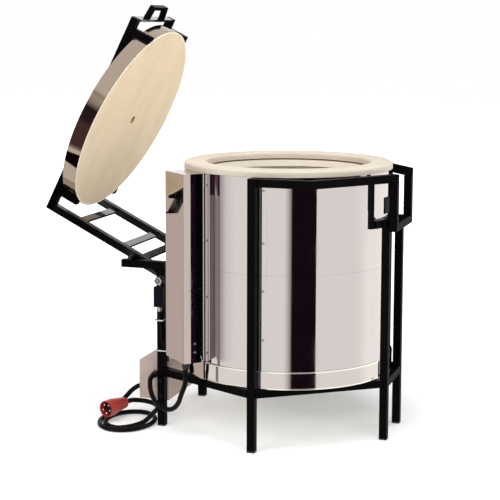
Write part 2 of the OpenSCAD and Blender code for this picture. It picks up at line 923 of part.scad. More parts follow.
module terminal_screws() {
    w = term_w / 2;
    a = asin((w + term_flange / 2) / casing_r);
    color([0.8, 0.8, 0.8]) in_frame() {
        for (s = [-a, a])
            for (f = [0.05, 0.35, 0.65, 0.94])
                rotate([0, 0, term_angle + s])
                    translate([casing_r + 2 * gap + sheet, 0, term_z0 + f * (term_z1 - term_z0)])
                        rotate([0, 90, 0])
                            screw_head(4, 2.5);
        rotate([0, 0, term_angle])
            for (z = [term_z0 + 34, term_z0 + 62])
                translate([term_face - 38, w + gap, z])
                    rotate([-90, 0, 0])
                        screw_head(4, 2.5);
    }
}

// Lid, drawn closed and turned open about the hinge bolt

module lid_slab() {
    color([0.95, 0.88, 0.74]) in_frame()
        lid_pose()
            difference() {
                translate([0, 0, lid_z0])
                    cylinder(r = lid_r - sheet - gap, h = lid_t - 2 * sheet - 2 * gap);
                translate([0, 0, lid_z0 - 1])
                    cylinder(r = vent_r, h = lid_t + 2, $fn = 48);
            }
}

module lid_band() {
    color([0.78, 0.78, 0.77]) in_frame()
        lid_pose() {
            ring(lid_r - sheet, lid_r, lid_z0 + 1.5, lid_z1);
            ring(lid_r - 16, lid_r, lid_z1 - sheet, lid_z1);
        }
}

module lid_back() {
    color([0.7, 0.7, 0.69]) in_frame()
        lid_pose()
            ring(vent_r, lid_r - sheet - gap, lid_z1 - 2 * sheet - gap, lid_z1 - sheet - gap);
}

module at_clamps() {
    both_sides()
        for (s = [0, 1])
            mirror([s, 0, 0])
                children();
}

module lid_clamps() {
    color([0.06, 0.06, 0.06]) in_frame()
        lid_pose()
            difference() {
                at_clamps() {
                    translate([clamp_x - 10, rail_y - half, lid_z0])
                        cube([26, tube, rail_gap + lid_t - gap]);
                    translate([clamp_x - 42, rail_y - half, lid_z1 + 8])
                        cube([50, tube, rail_gap - 8 - gap]);
                }
                translate([0, 0, lid_z0 - 1])
                    cylinder(r = lid_r + gap, h = lid_t + 1 + 3);
            }
}

module clamp_screws() {
    color([0.7, 0.7, 0.7]) in_frame()
        lid_pose()
            at_clamps()
                translate([clamp_x + 16 + gap, rail_y, lid_z0 + lid_t / 2])
                    rotate([0, 90, 0])
                        screw_head(5, 3);
}

module lid_rail(w, x0, x1) {
    translate([x0, rail_y - w / 2, rail_z - w / 2])
        cube([x1 - x0, w, w]);
}

module ladder_rail(w, z0, z1) {
    translate([rail_x - w / 2, rail_y - w / 2, z0])
        cube([w, w, z1 - z0]);
}

module lid_rails() {
    x0 = rail_x - half;
    color([0.06, 0.06, 0.06]) in_frame()
        lid_pose()
            both_sides()
                difference() {
                    lid_rail(tube, x0, rail_end);
                    lid_rail(core, x0 + tube_wall, rail_end - tube_wall);
                    ladder_rail(core, rail_z - half - 1, rail_z);
                }
}

// Upright rails with the hinge lugs and the stop pins
module ladder() {
    foot = pivot_z + bolt_r + 6;
    head = rail_z - half - gap;
    color([0.06, 0.06, 0.06]) in_frame()
        lid_pose()
            both_sides() {
                difference() {
                    union() {
                        difference() {
                            ladder_rail(tube, foot, head);
                            ladder_rail(core, foot - 1, head + 1);
                        }
                        translate([hinge_x, 0, pivot_z])
                            along_y(lug_r, rail_out - 0.5, lug_out, 64);
                        translate([hinge_x - 6, rail_out - 0.5, pivot_z])
                            cube([rail_x + half - hinge_x + 6, lug_t + 0.5, 84]);
                    }
                    translate([hinge_x, 0, pivot_z])
                        along_y(bolt_r + 0.02, rail_out - 5, lug_out + 1);
                }
                translate([rail_x, 0, pivot_z + stop_d])
                    along_y(stop_r, rail_out + gap, leg_out);
            }
}

// Front bar between the lid rails, and the flat rungs between the upright rails
module lever_bars() {
    y = rail_y - half - gap;
    color([0.06, 0.06, 0.06]) in_frame()
        lid_pose() {
            translate([rail_end - front_t, -y, rail_z - half])
                cube([front_t, 2 * y, tube]);
            for (d = rung_d)
                translate([rail_x - rung_t / 2, -y, pivot_z + d - rung_w / 2])
                    cube([rung_t, 2 * y, rung_w]);
        }
}

module handle_outline(reach, foot, top) {
    polygon([[0, -foot], [reach, -top], [reach, top], [0, foot]]);
}

module lid_handle() {
    inner = handle_reach - handle_w;
    inner_top = handle_foot - handle_w - (handle_foot - handle_top) * inner / handle_reach;
    color([0.06, 0.06, 0.06]) in_frame()
        lid_pose()
            translate([rail_end + gap, 0, rail_z - handle_d / 2])
                linear_extrude(height = handle_d)
                    difference() {
                        handle_outline(handle_reach, handle_foot, handle_top);
                        translate([-1, 0])
                            handle_outline(inner + 1, handle_foot - handle_w, inner_top);
                    }
}

module hinge_bolt() {
    color([0.75, 0.75, 0.75]) in_frame()
        lid_pose()
            translate([hinge_x, 0, pivot_z]) {
                along_y(bolt_r, -cam_y1 - 1, leg_out + 20, 64);
                along_y(nut_af / 2 * hex_k, -cam_y1 - gap - 10, -cam_y1 - gap, 6);
            }
}

module hinge_spacers() {
    color([0.6, 0.6, 0.6]) in_frame()
        lid_pose()
            translate([hinge_x, 0, pivot_z])
                both_sides()
                    difference() {
                        along_y(spacer_r, lug_out + gap, leg_in - gap);
                        along_y(bolt_r + 0.05, lug_out, leg_in);
                    }
}

module hinge_nut() {
    color([0.75, 0.75, 0.75]) in_frame()
        lid_pose()
            translate([hinge_x, 0, pivot_z])
                difference() {
                    along_y(nut_af / 2 * hex_k, leg_out + gap, leg_out + gap + 13, 6);
                    along_y(bolt_r + 0.02, leg_out, leg_out + 15);
                }
}

module switch_cam() {
    color([0.2, 0.2, 0.2]) in_frame()
        translate([hinge_x, 0, pivot_z])
            difference() {
                translate([cam_ecc * cos(cam_phase), 0, cam_ecc * sin(cam_phase)])
                    along_y(cam_r, -cam_y1, -cam_y0, 64);
                along_y(bolt_r + 0.02, -cam_y1 - 1, -cam_y0 + 1);
            }
}

// Lid switch on the hinge leg

module lid_switch() {
    color([0.07, 0.08, 0.12]) in_frame()
        difference() {
            union() {
                translate([plunger_x - switch_w / 2, -switch_y0 - switch_d, switch_z0])
                    cube([switch_w, switch_d, switch_h]);
                translate([plunger_x - switch_w / 2 + 2, -switch_y0 - switch_d - 2, switch_z0 + 6])
                    cube([switch_w - 4, 3, switch_h - 22]);
            }
            translate([plunger_x, plunger_y, switch_z1 - 26])
                cylinder(r = plunger_r + gap, h = 30, $fn = 32);
        }
}

module switch_plunger() {
    color([0.75, 0.75, 0.75]) in_frame()
        translate([plunger_x, plunger_y, plunger_z1 - 22])
            cylinder(r = plunger_r, h = 22, $fn = 32);
}

module switch_gland() {
    color([0.75, 0.75, 0.75]) in_frame()
        translate([plunger_x, switch_mid_y, gland_z0]) {
            cylinder(r1 = 6.5, r2 = 8.5, h = 6, $fn = 32);
            translate([0, 0, 5])
                cylinder(r = 9.5, h = 7, $fn = 6);
            translate([0, 0, 11])
                cylinder(r = 8, h = 5, $fn = 32);
        }
}

module switch_cable() {
    color([0.04, 0.04, 0.04]) in_frame()
        swept(smooth(switch_route, 2), thin_r, 8);
}

module tie_band(x0, x1, y0, y1, z) {
    translate([0, 0, z - 1.8])
        difference() {
            translate([x0 - 1.2, y0 - 1.2, 0])
                cube([x1 - x0 + 2.4, y1 - y0 + 2.4, 3.6]);
            translate([x0, y0, -1])
                cube([x1 - x0, y1 - y0, 6]);
        }
}

module cable_ties() {
    x0 = hinge_x - half - gap;
    x1 = hinge_x + half + gap;
    y1 = -leg_in + gap;
    color([0.92, 0.92, 0.92]) in_frame() {
        tie_band(x0, x1, -leg_out - 15, y1, tie_top_z);
        tie_band(x0, x1 + 10.5, -leg_out - gap, y1, tie_low_z);
    }
}

// Switch box

module box_body() {
    color([0.66, 0.62, 0.58]) in_frame()
        difference() {
            translate([box_x0, -box_y, box_z0])
                cube([box_d, 2 * box_y, box_h]);
            translate([box_x0 - 1, -box_y + sheet, box_z0 + sheet])
                cube([box_d + 1 - sheet, 2 * box_y - 2 * sheet, box_h - 2 * sheet]);
            for (z = box_bolt_z)
                translate([hinge_x, 0, z])
                    both_sides()
                        along_y(4.3, box_y - 5, box_y + 1);
            translate([link_x, 0, link_z])
                along_y(cord_r + 0.6, -box_y - 1, -box_y + 5);
            translate([top_gland[0], top_gland[1], box_z1 - 5])
                cylinder(r = thin_r + 0.6, h = 6, $fn = 32);
        }
}

module box_cover() {
    color([0.66, 0.62, 0.58]) in_frame()
        difference() {
            translate([box_x0 - gap - 1.5, -box_y, box_z0])
                cube([1.5, 2 * box_y, box_h]);
            translate([0, feed_y, feed_z])
                along_x(cord_r + 0.6, box_x0 - 5, box_x0 + 1);
        }
}

module box_screws() {
    color([0.75, 0.75, 0.75]) in_frame()
        for (y = [-box_y + 10, box_y - 10])
            for (z = [box_z0 + 10, box_z1 - 10])
                translate([box_x0 - 2 * gap - 1.5, y, z])
                    rotate([0, -90, 0])
                        screw_head(4, 2.5);
}

module box_bolts() {
    color([0.6, 0.6, 0.6]) in_frame()
        for (z = box_bolt_z)
            translate([hinge_x, 0, z])
                both_sides() {
                    along_y(7.5, leg_out + gap, leg_out + gap + 5.5, 6);
                    along_y(4, box_y - 8, leg_out + gap + 1, 24);
                }
}

module box_rail() {
    x1 = box_x1 - sheet - gap;
    color([0.7, 0.7, 0.7]) in_frame()
        difference() {
            translate([x1 - din_t, -din_len / 2, box_z0 + (box_h - din_h) / 2])
                cube([din_t, din_len, din_h]);
            translate([x1 - din_t - 1, -din_len / 2 - 1, box_z0 + (box_h - din_h) / 2 + 6])
                cube([din_t, din_len + 2, din_h - 12]);
        }
}

module contactors() {
    x1 = box_x1 - sheet - 2 * gap - din_t;
    color([0.2, 0.2, 0.21]) in_frame()
        for (y = [-box_y / 3, 0, box_y / 3])
            translate([x1 - contactor_d, y - contactor_w / 2, box_z0 + contactor_z]) {
                cube([contactor_d, contactor_w, contactor_h]);
                translate([1 - nose_d, (contactor_w - nose_w) / 2, (contactor_h - nose_h) / 2])
                    cube([nose_d, nose_w, nose_h]);
            }
}

// Compression gland standing on z = 0, with a hole for the cable
module gland(r, len, hole) {
    difference() {
        union() {
            cylinder(r = r, h = len * 0.38, $fn = 6);
            translate([0, 0, len * 0.36])
                cylinder(r = r * 0.92, h = len * 0.4, $fn = 40);
            translate([0, 0, len * 0.74])
                cylinder(r1 = r * 0.9, r2 = hole + 1.6, h = len * 0.26, $fn = 40);
        }
        translate([0, 0, -1])
            cylinder(r = hole, h = len - 1, $fn = 40);
    }
}

module cable_glands() {
    color([0.05, 0.05, 0.05]) in_frame() {
        translate([link_x, -box_y - gap, link_z])
            rotate([90, 0, 0])
                gland(box_gland_r, box_gland_len, cord_r);
        translate([box_x0 - 2 * gap - 1.5, feed_y, feed_z])
            rotate([0, -90, 0])
                gland(box_gland_r, box_gland_len - 1.5, cord_r);
        translate([top_gland[0], top_gland[1], box_z1 + gap])
            gland(8, top_gland_len, thin_r);
        translate([term_gland[0], term_gland[1], term_z0 - gap])
            mirror([0, 0, 1])
                gland(box_gland_r, box_gland_len, cord_r);
    }
}

// Cords and plug

module link_cable() {
    color([0.04, 0.04, 0.04]) in_frame()
        swept(smooth(link_route, 2), cord_r, 10);
}

module power_cord() {
    color([0.04, 0.04, 0.04]) in_frame()
        swept(cord_path, cord_r, 8);
}

// Puts +Z along the plug from its face to its nut
module plug_pose() {
    translate([plug_face[0], plug_face[1], plug_face_z])
        rotate([0, 0, atan2(plug_dir[1], plug_dir[0])])
            rotate([0, 90 - plug_tilt, 0])
                children();
}

module plug_shell() {
    color([0.72, 0.1, 0.1]) in_frame()
        plug_pose()
            difference() {
                union() {
                    cylinder(r = plug_r, h = 36, $fn = 64);
                    translate([0, 0, 35.5])
                        cylinder(r1 = plug_r - 0.5, r2 = 20.5, h = 44, $fn = 64);
                    translate([plug_r - key_h, -4, 0])
                        cube([2 * key_h, 8, 34]);
                }
                translate([0, 0, -1])
                    cylinder(r = plug_r - 3, h = 35, $fn = 64);
                translate([0, 0, 50])
                    cylinder(r = cord_r + 1, h = 40, $fn = 40);
            }
}

module plug_insert() {
    color([0.12, 0.05, 0.05]) in_frame()
        plug_pose()
            translate([0, 0, 28])
                cylinder(r = plug_r - 3 - gap, h = 6 - gap, $fn = 64);
}

module plug_pins() {
    color([0.8, 0.78, 0.72]) in_frame()
        plug_pose()
            for (i = [0 : 4])
                rotate([0, 0, i * 72])
                    translate([plug_r * 0.55, 0, 3])
                        cylinder(r = i == 0 ? 3.2 : 2.5, h = 25 - gap, $fn = 24);
}

module plug_nut() {
    color([0.66, 0.09, 0.09]) in_frame()
        plug_pose()
            difference() {
                union() {
                    translate([0, 0, 79.5 + gap])
                        cylinder(r = 19, h = plug_len - 90 - gap, $fn = 12);
                    translate([0, 0, plug_len - 11])
                        cylinder(r1 = 18, r2 = cord_r + 2, h = 11, $fn = 40);
                }
                translate([0, 0, 75])
                    cylinder(r = cord_r + 0.5, h = plug_len - 76, $fn = 40);
            }
}

hinge_legs();
hinge_bars();
side_legs();
top_bars();
handle_legs();
cross_bar();
handle_posts();
catch_bars();
blank_plate();
frame_base();
leg_caps();
base_tray();
base_plate();
casing_lower();
casing_upper();
casing_screws();
floor_board();
floor_brick();
brick_lower();
brick_middle();
brick_upper();
blanket();
collar();
elements();
element_tails();
thermocouple();
terminal_strip();
terminal_cover();
terminal_screws();
lid_slab();
lid_band();
lid_back();
lid_clamps();
clamp_screws();
lid_rails();
ladder();
lever_bars();
lid_handle();
hinge_bolt();
hinge_spacers();
hinge_nut();
switch_cam();
lid_switch();
switch_plunger();
switch_gland();
switch_cable();
cable_ties();
box_body();
box_cover();
box_screws();
box_bolts();
box_rail();
contactors();
cable_glands();
link_cable();
power_cord();
plug_shell();
plug_insert();
plug_pins();
plug_nut();
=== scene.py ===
"""Looks of a round top-loading pottery kiln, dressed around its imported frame."""

import json
import logging
import math
from dataclasses import dataclass, field, replace
from enum import Enum

import bpy
from mathutils import Matrix, Vector


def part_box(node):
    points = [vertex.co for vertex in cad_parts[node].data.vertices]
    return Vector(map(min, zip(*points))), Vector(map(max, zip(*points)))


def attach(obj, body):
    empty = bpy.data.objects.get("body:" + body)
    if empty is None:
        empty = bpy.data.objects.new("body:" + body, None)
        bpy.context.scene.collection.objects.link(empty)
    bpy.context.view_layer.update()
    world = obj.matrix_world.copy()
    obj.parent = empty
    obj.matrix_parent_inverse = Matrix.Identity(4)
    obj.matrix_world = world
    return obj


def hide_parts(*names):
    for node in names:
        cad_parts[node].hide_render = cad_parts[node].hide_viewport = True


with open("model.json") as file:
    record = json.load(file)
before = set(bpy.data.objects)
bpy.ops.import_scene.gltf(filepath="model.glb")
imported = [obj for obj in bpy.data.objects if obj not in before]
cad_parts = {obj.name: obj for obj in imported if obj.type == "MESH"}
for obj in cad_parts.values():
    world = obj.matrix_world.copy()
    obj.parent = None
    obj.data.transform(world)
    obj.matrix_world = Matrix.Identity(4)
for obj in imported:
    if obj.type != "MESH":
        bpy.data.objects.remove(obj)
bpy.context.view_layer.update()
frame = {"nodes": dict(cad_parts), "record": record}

LOG = logging.getLogger("kiln")
MM = 0.001
# The body that every piece made here rides on
STAND = "stand"
# Kiln axis along X in the frame: sizes below are in millimetres from that axis unless they say metres
AXIS_X = sum(corner[0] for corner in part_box("collar")) / 2 / MM

Spot = tuple[float, float]
Point = tuple[float, float, float]
Colour = tuple[float, float, float]
Tones = tuple[tuple[float, Colour], ...]
Piece = bpy.types.Object
Material = bpy.types.Material
NodeTree = bpy.types.NodeTree
ShaderNode = bpy.types.ShaderNode
Socket = bpy.types.NodeSocket


def place(x: float, y: float, z: float) -> Vector:
    """Turns millimetres from the kiln axis into metres in the frame.

    Args:
        x: Distance towards the handle side.
        y: Distance away from the terminal box side.
        z: Height above the floor.

    Returns:
        The point in the frame.
    """
    return Vector(((x + AXIS_X) * MM, y * MM, z * MM))


def own_box(node: Piece) -> tuple[list[Vector], Vector]:
    """Finds the box of a node in its own coordinates.

    Args:
        node: The node.

    Returns:
        The corners of the box and its middle.
    """
    corners = [Vector(corner) for corner in node.bound_box]
    return corners, sum(corners, Vector()) / len(corners)


class Slot(Enum):
    """Material slots of the record."""

    BLACK_PAINT = "black_paint"
    POLISHED_STEEL = "polished_steel"
    BASE_STEEL = "base_steel"
    BRIGHT_STEEL = "bright_steel"
    BLACK_PLASTIC = "black_plastic"
    SWITCH_PLASTIC = "switch_plastic"
    DARK_PLASTIC = "dark_plastic"
    BOARD = "board"
    BLANKET = "blanket"
    BRICK = "brick"
    REFRACTORY = "refractory"
    ELEMENT_WIRE = "element_wire"
    PORCELAIN = "porcelain"
    GREY_PAINT = "grey_paint"
    CABLE_RUBBER = "cable_rubber"
    WHITE_PLASTIC = "white_plastic"
    RED_PLASTIC = "red_plastic"
    PLUG_DARK = "plug_dark"
    PIN_METAL = "pin_metal"


class Kind(Enum):
    """Kinds of socket in the shared effects."""

    FLOAT = "NodeSocketFloat"
    COLOUR = "NodeSocketColor"
    VECTOR = "NodeSocketVector"


# Shader steps


def rgba(colour: Colour) -> tuple[float, float, float, float]:
    """Returns a colour with full alpha."""
    return (*colour, 1.0)


def even(tone: Colour) -> Tones:
    """Returns one tone from edge to edge."""
    return ((0.0, tone), (1.0, tone))


def feed(tree: NodeTree, target: Socket, value: object) -> None:
    """Links an input to a socket, or sets it to a fixed value.

    Args:
        tree: The tree that holds the input.
        target: The input.
        value: Another node's socket, or the fixed value.
    """
    if isinstance(value, Socket):
        tree.links.new(value, target)
    else:
        target.default_value = value


def own_place(tree: NodeTree) -> Socket:
    """Returns the object coordinates of the shaded point."""
    return tree.nodes.new("ShaderNodeTexCoord").outputs["Object"]


def own_coordinate(tree: NodeTree, axis: str) -> Socket:
    """Returns one of the object coordinates, X, Y or Z."""
    split = tree.nodes.new("ShaderNodeSeparateXYZ")
    feed(tree, split.inputs["Vector"], own_place(tree))
    return split.outputs[axis]


def reckon(tree: NodeTree, operation: str, *values: object) -> Socket:
    """Works out a number from sockets and fixed values.

    Args:
        tree: The tree to extend.
        operation: Name of the operation.
        values: Sockets or fixed values, in order.

    Returns:
        The result.
    """
    node = tree.nodes.new("ShaderNodeMath")
    node.operation = operation
    for target, value in zip(node.inputs, values):
        feed(tree, target, value)
    return node.outputs["Value"]


def reckon_vector(tree: NodeTree, operation: str, *values: object) -> ShaderNode:
    """Works out a vector or its length from sockets and fixed values.

    Args:
        tree: The tree to extend.
        operation: Name of the operation.
        values: Sockets or fixed values, in order.

    Returns:
        The node, with its outputs Vector and Value.
    """
    node = tree.nodes.new("ShaderNodeVectorMath")
    node.operation = operation
    for target, value in zip(node.inputs, values):
        feed(tree, target, value)
    return node


def band(tree: NodeTree, value: Socket, start: float, full: float) -> Socket:
    """Spreads a stretch of values over 0 to 1.

    Args:
        tree: The tree to extend.
        value: The value.
        start: Value that becomes 0.
        full: Value that becomes 1, above or below the start.

    Returns:
        The spread value.
    """
    node = tree.nodes.new("ShaderNodeMapRange")
    node.inputs["From Min"].default_value = start
    node.inputs["From Max"].default_value = full
    feed(tree, node.inputs["Value"], value)
    return node.outputs["Result"]


def noise(tree: NodeTree, at: Socket, scale: object, detail: float) -> Socket:
    """Places a noise.

    Args:
        tree: The tree to extend.
        at: Coordinates that it runs in.
        scale: Socket or fixed value of its scale.
        detail: Its detail.

    Returns:
        The noise from 0 to 1.
    """
    node = tree.nodes.new("ShaderNodeTexNoise")
    node.inputs["Detail"].default_value = detail
    feed(tree, node.inputs["Vector"], at)
    feed(tree, node.inputs["Scale"], scale)
    return node.outputs["Fac"]


def blend(tree: NodeTree, share: Socket, first: object, second: object, kind: str = "RGBA") -> Socket:
    """Mixes two colours, or two numbers.

    Args:
        tree: The tree to extend.
        share: Share of the second one.
        first: Socket or fixed value of the first one.
        second: Socket or fixed value of the second one.
        kind: RGBA for colours, FLOAT for numbers.

    Returns:
        The mix.
    """
    mix = tree.nodes.new("ShaderNodeMix")
    mix.data_type = kind
    for label, value in (("Factor", share), ("A", first), ("B", second)):
        feed(tree, mix.inputs[label], value)
    return mix.outputs["Result"]


# Shared shader effects


class Effects:
    """Shader node groups that several finishes share."""

    MOTTLE_DETAIL = 6.0
    MOTTLE_BAND = (0.36, 0.66)
    FINE_DETAIL = 4.0
    COARSE_DETAIL = 3.0
    STREAK_SCALE = 1.6
    STREAK_DETAIL = 5.0
    STREAK_BAND = (0.38, 0.64)
    MARK_SCALE = 9.0
    MARK_DETAIL = 8.0
    MARK_BAND = (0.45, 0.75)
    RIPPLE_DETAIL = 1.0

    def __init__(self) -> None:
        """Builds every group once."""
        self.mottle = self._mottle()
        self.grain = self._grain()
        self.streaks = self._streaks()
        self.polish = self._polish()

    @staticmethod
    def _group(
        name: str, inputs: dict[str, tuple[Kind, object]], outputs: dict[str, Kind]
    ) -> tuple[NodeTree, object, object]:
        """Makes an empty group with named sockets.

        Args:
            name: Name of the group.
            inputs: Socket kind and default value by socket name.
            outputs: Socket kind by socket name.

        Returns:
            The new group, the sockets that come in and the sockets that go out.
        """
        tree = bpy.data.node_groups.new(name, "ShaderNodeTree")
        for label, (kind, value) in inputs.items():
            socket = tree.interface.new_socket(label, in_out="INPUT", socket_type=kind.value)
            socket.default_value = value
        for label, kind in outputs.items():
            tree.interface.new_socket(label, in_out="OUTPUT", socket_type=kind.value)
        source = tree.nodes.new("NodeGroupInput")
        target = tree.nodes.new("NodeGroupOutput")
        return tree, source.outputs, target.inputs

    def _mottle(self) -> NodeTree:
        """Returns a soft two-colour variation with a matching roughness."""
        tree, source, target = self._group(
            "mottle",
            {
                "Colour": (Kind.COLOUR, (0.5, 0.5, 0.5, 1.0)),
                "Tint": (Kind.COLOUR, (0.4, 0.4, 0.4, 1.0)),
                "Scale": (Kind.FLOAT, 12.0),
                "Amount": (Kind.FLOAT, 0.5),
                "Roughness": (Kind.FLOAT, 0.5),
                "Spread": (Kind.FLOAT, 0.1),
            },
            {"Colour": Kind.COLOUR, "Roughness": Kind.FLOAT},
        )
        cloud = noise(tree, own_place(tree), source["Scale"], self.MOTTLE_DETAIL)
        spots = band(tree, cloud, *self.MOTTLE_BAND)
        share = reckon(tree, "MULTIPLY", spots, source["Amount"])
        rough = reckon(tree, "MULTIPLY_ADD", spots, source["Spread"], source["Roughness"])
        feed(tree, target["Colour"], blend(tree, share, source["Colour"], source["Tint"]))
        feed(tree, target["Roughness"], rough)
        return tree

    def _grain(self) -> NodeTree:
        """Returns a fine height field for paint, brick and plastic."""
        tree, source, target = self._group(
            "fine_grain",
            {
                "Scale": (Kind.FLOAT, 400.0),
                "Coarse": (Kind.FLOAT, 60.0),
                "Share": (Kind.FLOAT, 0.3),
            },
            {"Height": Kind.FLOAT},
        )
        fine = noise(tree, own_place(tree), source["Scale"], self.FINE_DETAIL)
        coarse = noise(tree, own_place(tree), source["Coarse"], self.COARSE_DETAIL)
        feed(tree, target["Height"], blend(tree, source["Share"], fine, coarse, "FLOAT"))
        return tree

    def _streaks(self) -> NodeTree:
        """Returns long soft streaks, as a trowel or a brush leaves them."""
        tree, source, target = self._group(
            "streaks",
            {
                "Colour": (Kind.COLOUR, (0.7, 0.6, 0.45, 1.0)),
                "Tint": (Kind.COLOUR, (0.6, 0.5, 0.35, 1.0)),
                "Stretch": (Kind.VECTOR, (2.0, 14.0, 2.0)),
                "Amount": (Kind.FLOAT, 0.5),
            },
            {"Colour": Kind.COLOUR},
        )
        stretched = reckon_vector(tree, "MULTIPLY", own_place(tree), source["Stretch"])
        cloud = noise(tree, stretched.outputs["Vector"], self.STREAK_SCALE, self.STREAK_DETAIL)
        share = reckon(tree, "MULTIPLY", band(tree, cloud, *self.STREAK_BAND), source["Amount"])
        feed(tree, target["Colour"], blend(tree, share, source["Colour"], source["Tint"]))
        return tree

    def _polish(self) -> NodeTree:
        """Returns the faint handling marks and sheet ripple of polished steel."""
        tree, source, target = self._group(
            "sheet_polish",
            {
                "Roughness": (Kind.FLOAT, 0.05),
                "Spread": (Kind.FLOAT, 0.05),
                "Ripple": (Kind.FLOAT, 2.0),
            },
            {"Roughness": Kind.FLOAT, "Height": Kind.FLOAT},
        )
        cloud = noise(tree, own_place(tree), self.MARK_SCALE, self.MARK_DETAIL)
        marks = band(tree, cloud, *self.MARK_BAND)
        rough = reckon(tree, "MULTIPLY_ADD", marks, source["Spread"], source["Roughness"])
        feed(tree, target["Roughness"], rough)
        feed(tree, target["Height"], noise(tree, own_place(tree), source["Ripple"], self.RIPPLE_DETAIL))
        return tree


EFFECTS = Effects()


def blank_material(name: str) -> tuple[Material, ShaderNode]:
    """Starts a material.

    Args:
        name: Name of the material.

    Returns:
        The material and its surface shader.
    """
    material = bpy.data.materials.new(name)
    material.use_nodes = True
    return material, material.node_tree.nodes["Principled BSDF"]


def add_group(material: Material, tree: NodeTree, **values: object) -> ShaderNode:
    """Places a shared effect in a material.

    Args:
        material: The material to extend.
        tree: The shared group.
        values: Sockets or fixed values by input name.

    Returns:
        The group node.
    """
    node = material.node_tree.nodes.new("ShaderNodeGroup")
    node.node_tree = tree
    for label, value in values.items():
        feed(material.node_tree, node.inputs[label], value)
    return node


def add_bump(material: Material, height: Socket, strength: float, distance: float) -> None:
    """Feeds a height into the surface normal.

    Args:
        material: The material to extend.
        height: Socket that holds the height.
        strength: Strength of the bump.
        distance: Depth of the bump in metres.
    """
    tree = material.node_tree
    bump = tree.nodes.new("ShaderNodeBump")
    bump.inputs["Strength"].default_value = strength
    bump.inputs["Distance"].default_value = distance
    feed(tree, bump.inputs["Height"], height)
    feed(tree, tree.nodes["Principled BSDF"].inputs["Normal"], bump.outputs["Normal"])


def shade_zone(material: Material, mask: Socket, colour: Colour) -> None:
    """Lays a second colour over a zone of a finished material.

    Args:
        material: The material to extend.
        mask: Socket that is 1 inside the zone.
        colour: Colour of the zone.
    """
    tree = material.node_tree
    target = tree.nodes["Principled BSDF"].inputs["Base Color"]
    under = target.links[0].from_socket if target.is_linked else target.default_value
    feed(tree, target, blend(tree, mask, under, rgba(colour)))


def reach_mask(material: Material, centre: Vector, axis: Vector, start: float, full: float) -> Socket:
    """Marks a zone by its distance from an axis.

    Args:
        material: The material to extend.
        centre: A point on the axis, in the node's own coordinates.
        axis: Direction of the axis.
        start: Distance where the zone starts to show, in metres.
        full: Distance where it shows in full.

    Returns:
        A socket that is 1 inside the zone.
    """
    tree = material.node_tree
    offset = reckon_vector(tree, "SUBTRACT", own_place(tree), centre)
    across = reckon_vector(tree, "CROSS_PRODUCT", offset.outputs["Vector"], axis.normalized())
    reach = reckon_vector(tree, "LENGTH", across.outputs["Vector"])
    return band(tree, reach.outputs["Value"], start, full)


def height_mask(material: Material, start: float, full: float) -> Socket:
    """Marks what lies past a height.

    Args:
        material: The material to extend.
        start: Height where the zone starts to show, in metres.
        full: Height where it shows in full, above or below the start.

    Returns:
        A socket that is 1 inside the zone.
    """
    return band(material.node_tree, own_coordinate(material.node_tree, "Z"), start, full)


def tone_ramp(material: Material, share: Socket, tones: Tones) -> Socket:
    """Runs a value through a row of tones.

    Args:
        material: The material to extend.
        share: Socket that runs from 0 to 1.
        tones: Colours with their share of the way.

    Returns:
        The colour socket.
    """
    ramp = material.node_tree.nodes.new("ShaderNodeValToRGB")
    stops = ramp.color_ramp.elements
    while len(stops) < len(tones):
        stops.new(1.0)
    for stop, (position, tone) in zip(stops, tones):
        stop.position = position
        stop.color = rgba(tone)
    feed(material.node_tree, ramp.inputs["Fac"], share)
    return ramp.outputs["Color"]


# Finishes


@dataclass(frozen=True)
class CoatFinish:
    """Paint, plastic, rubber or other plain finish with a mottle and a grain."""

    name: str
    colour: Colour
    tint: Colour
    roughness: float
    spread: float = 0.1
    amount: float = 0.6
    scale: float = 14.0
    grain: float = 500.0
    # Scale of the coarse grain as a share of the fine one, and its share of the height
    coarse: float = 0.2
    coarse_share: float = 0.35
    bump: float = 0.12
    depth: float = 0.0006
    metallic: float = 0.0
    coat: float = 0.0
    specular: float = 0.5

    def build(self) -> Material:
        """Returns the finished material."""
        material, shader = blank_material(self.name)
        mottle = add_group(
            material,
            EFFECTS.mottle,
            Colour=rgba(self.colour),
            Tint=rgba(self.tint),
            Scale=self.scale,
            Amount=self.amount,
            Roughness=self.roughness,
            Spread=self.spread,
        )
        for output, label in (("Colour", "Base Color"), ("Roughness", "Roughness")):
            feed(material.node_tree, shader.inputs[label], mottle.outputs[output])
        shader.inputs["Metallic"].default_value = self.metallic
        shader.inputs["Coat Weight"].default_value = self.coat
        shader.inputs["Specular IOR Level"].default_value = self.specular
        grain = add_group(
            material,
            EFFECTS.grain,
            Scale=self.grain,
            Coarse=self.grain * self.coarse,
            Share=self.coarse_share,
        )
        add_bump(material, grain.outputs["Height"], self.bump, self.depth)
        return material


@dataclass(frozen=True)
class SteelFinish:
    """Polished sheet or turned steel."""

    name: str
    colour: Colour
    roughness: float
    spread: float = 0.05
    ripple: float = 2.2
    bump: float = 0.05
    depth: float = 0.002

    def build(self) -> Material:
        """Returns the finished material."""
        material, shader = blank_material(self.name)
        polish = add_group(
            material,
            EFFECTS.polish,
            Roughness=self.roughness,
            Spread=self.spread,
            Ripple=self.ripple,
        )
        shader.inputs["Base Color"].default_value = rgba(self.colour)
        shader.inputs["Metallic"].default_value = 1.0
        feed(material.node_tree, shader.inputs["Roughness"], polish.outputs["Roughness"])
        add_bump(material, polish.outputs["Height"], self.bump, self.depth)
        return material


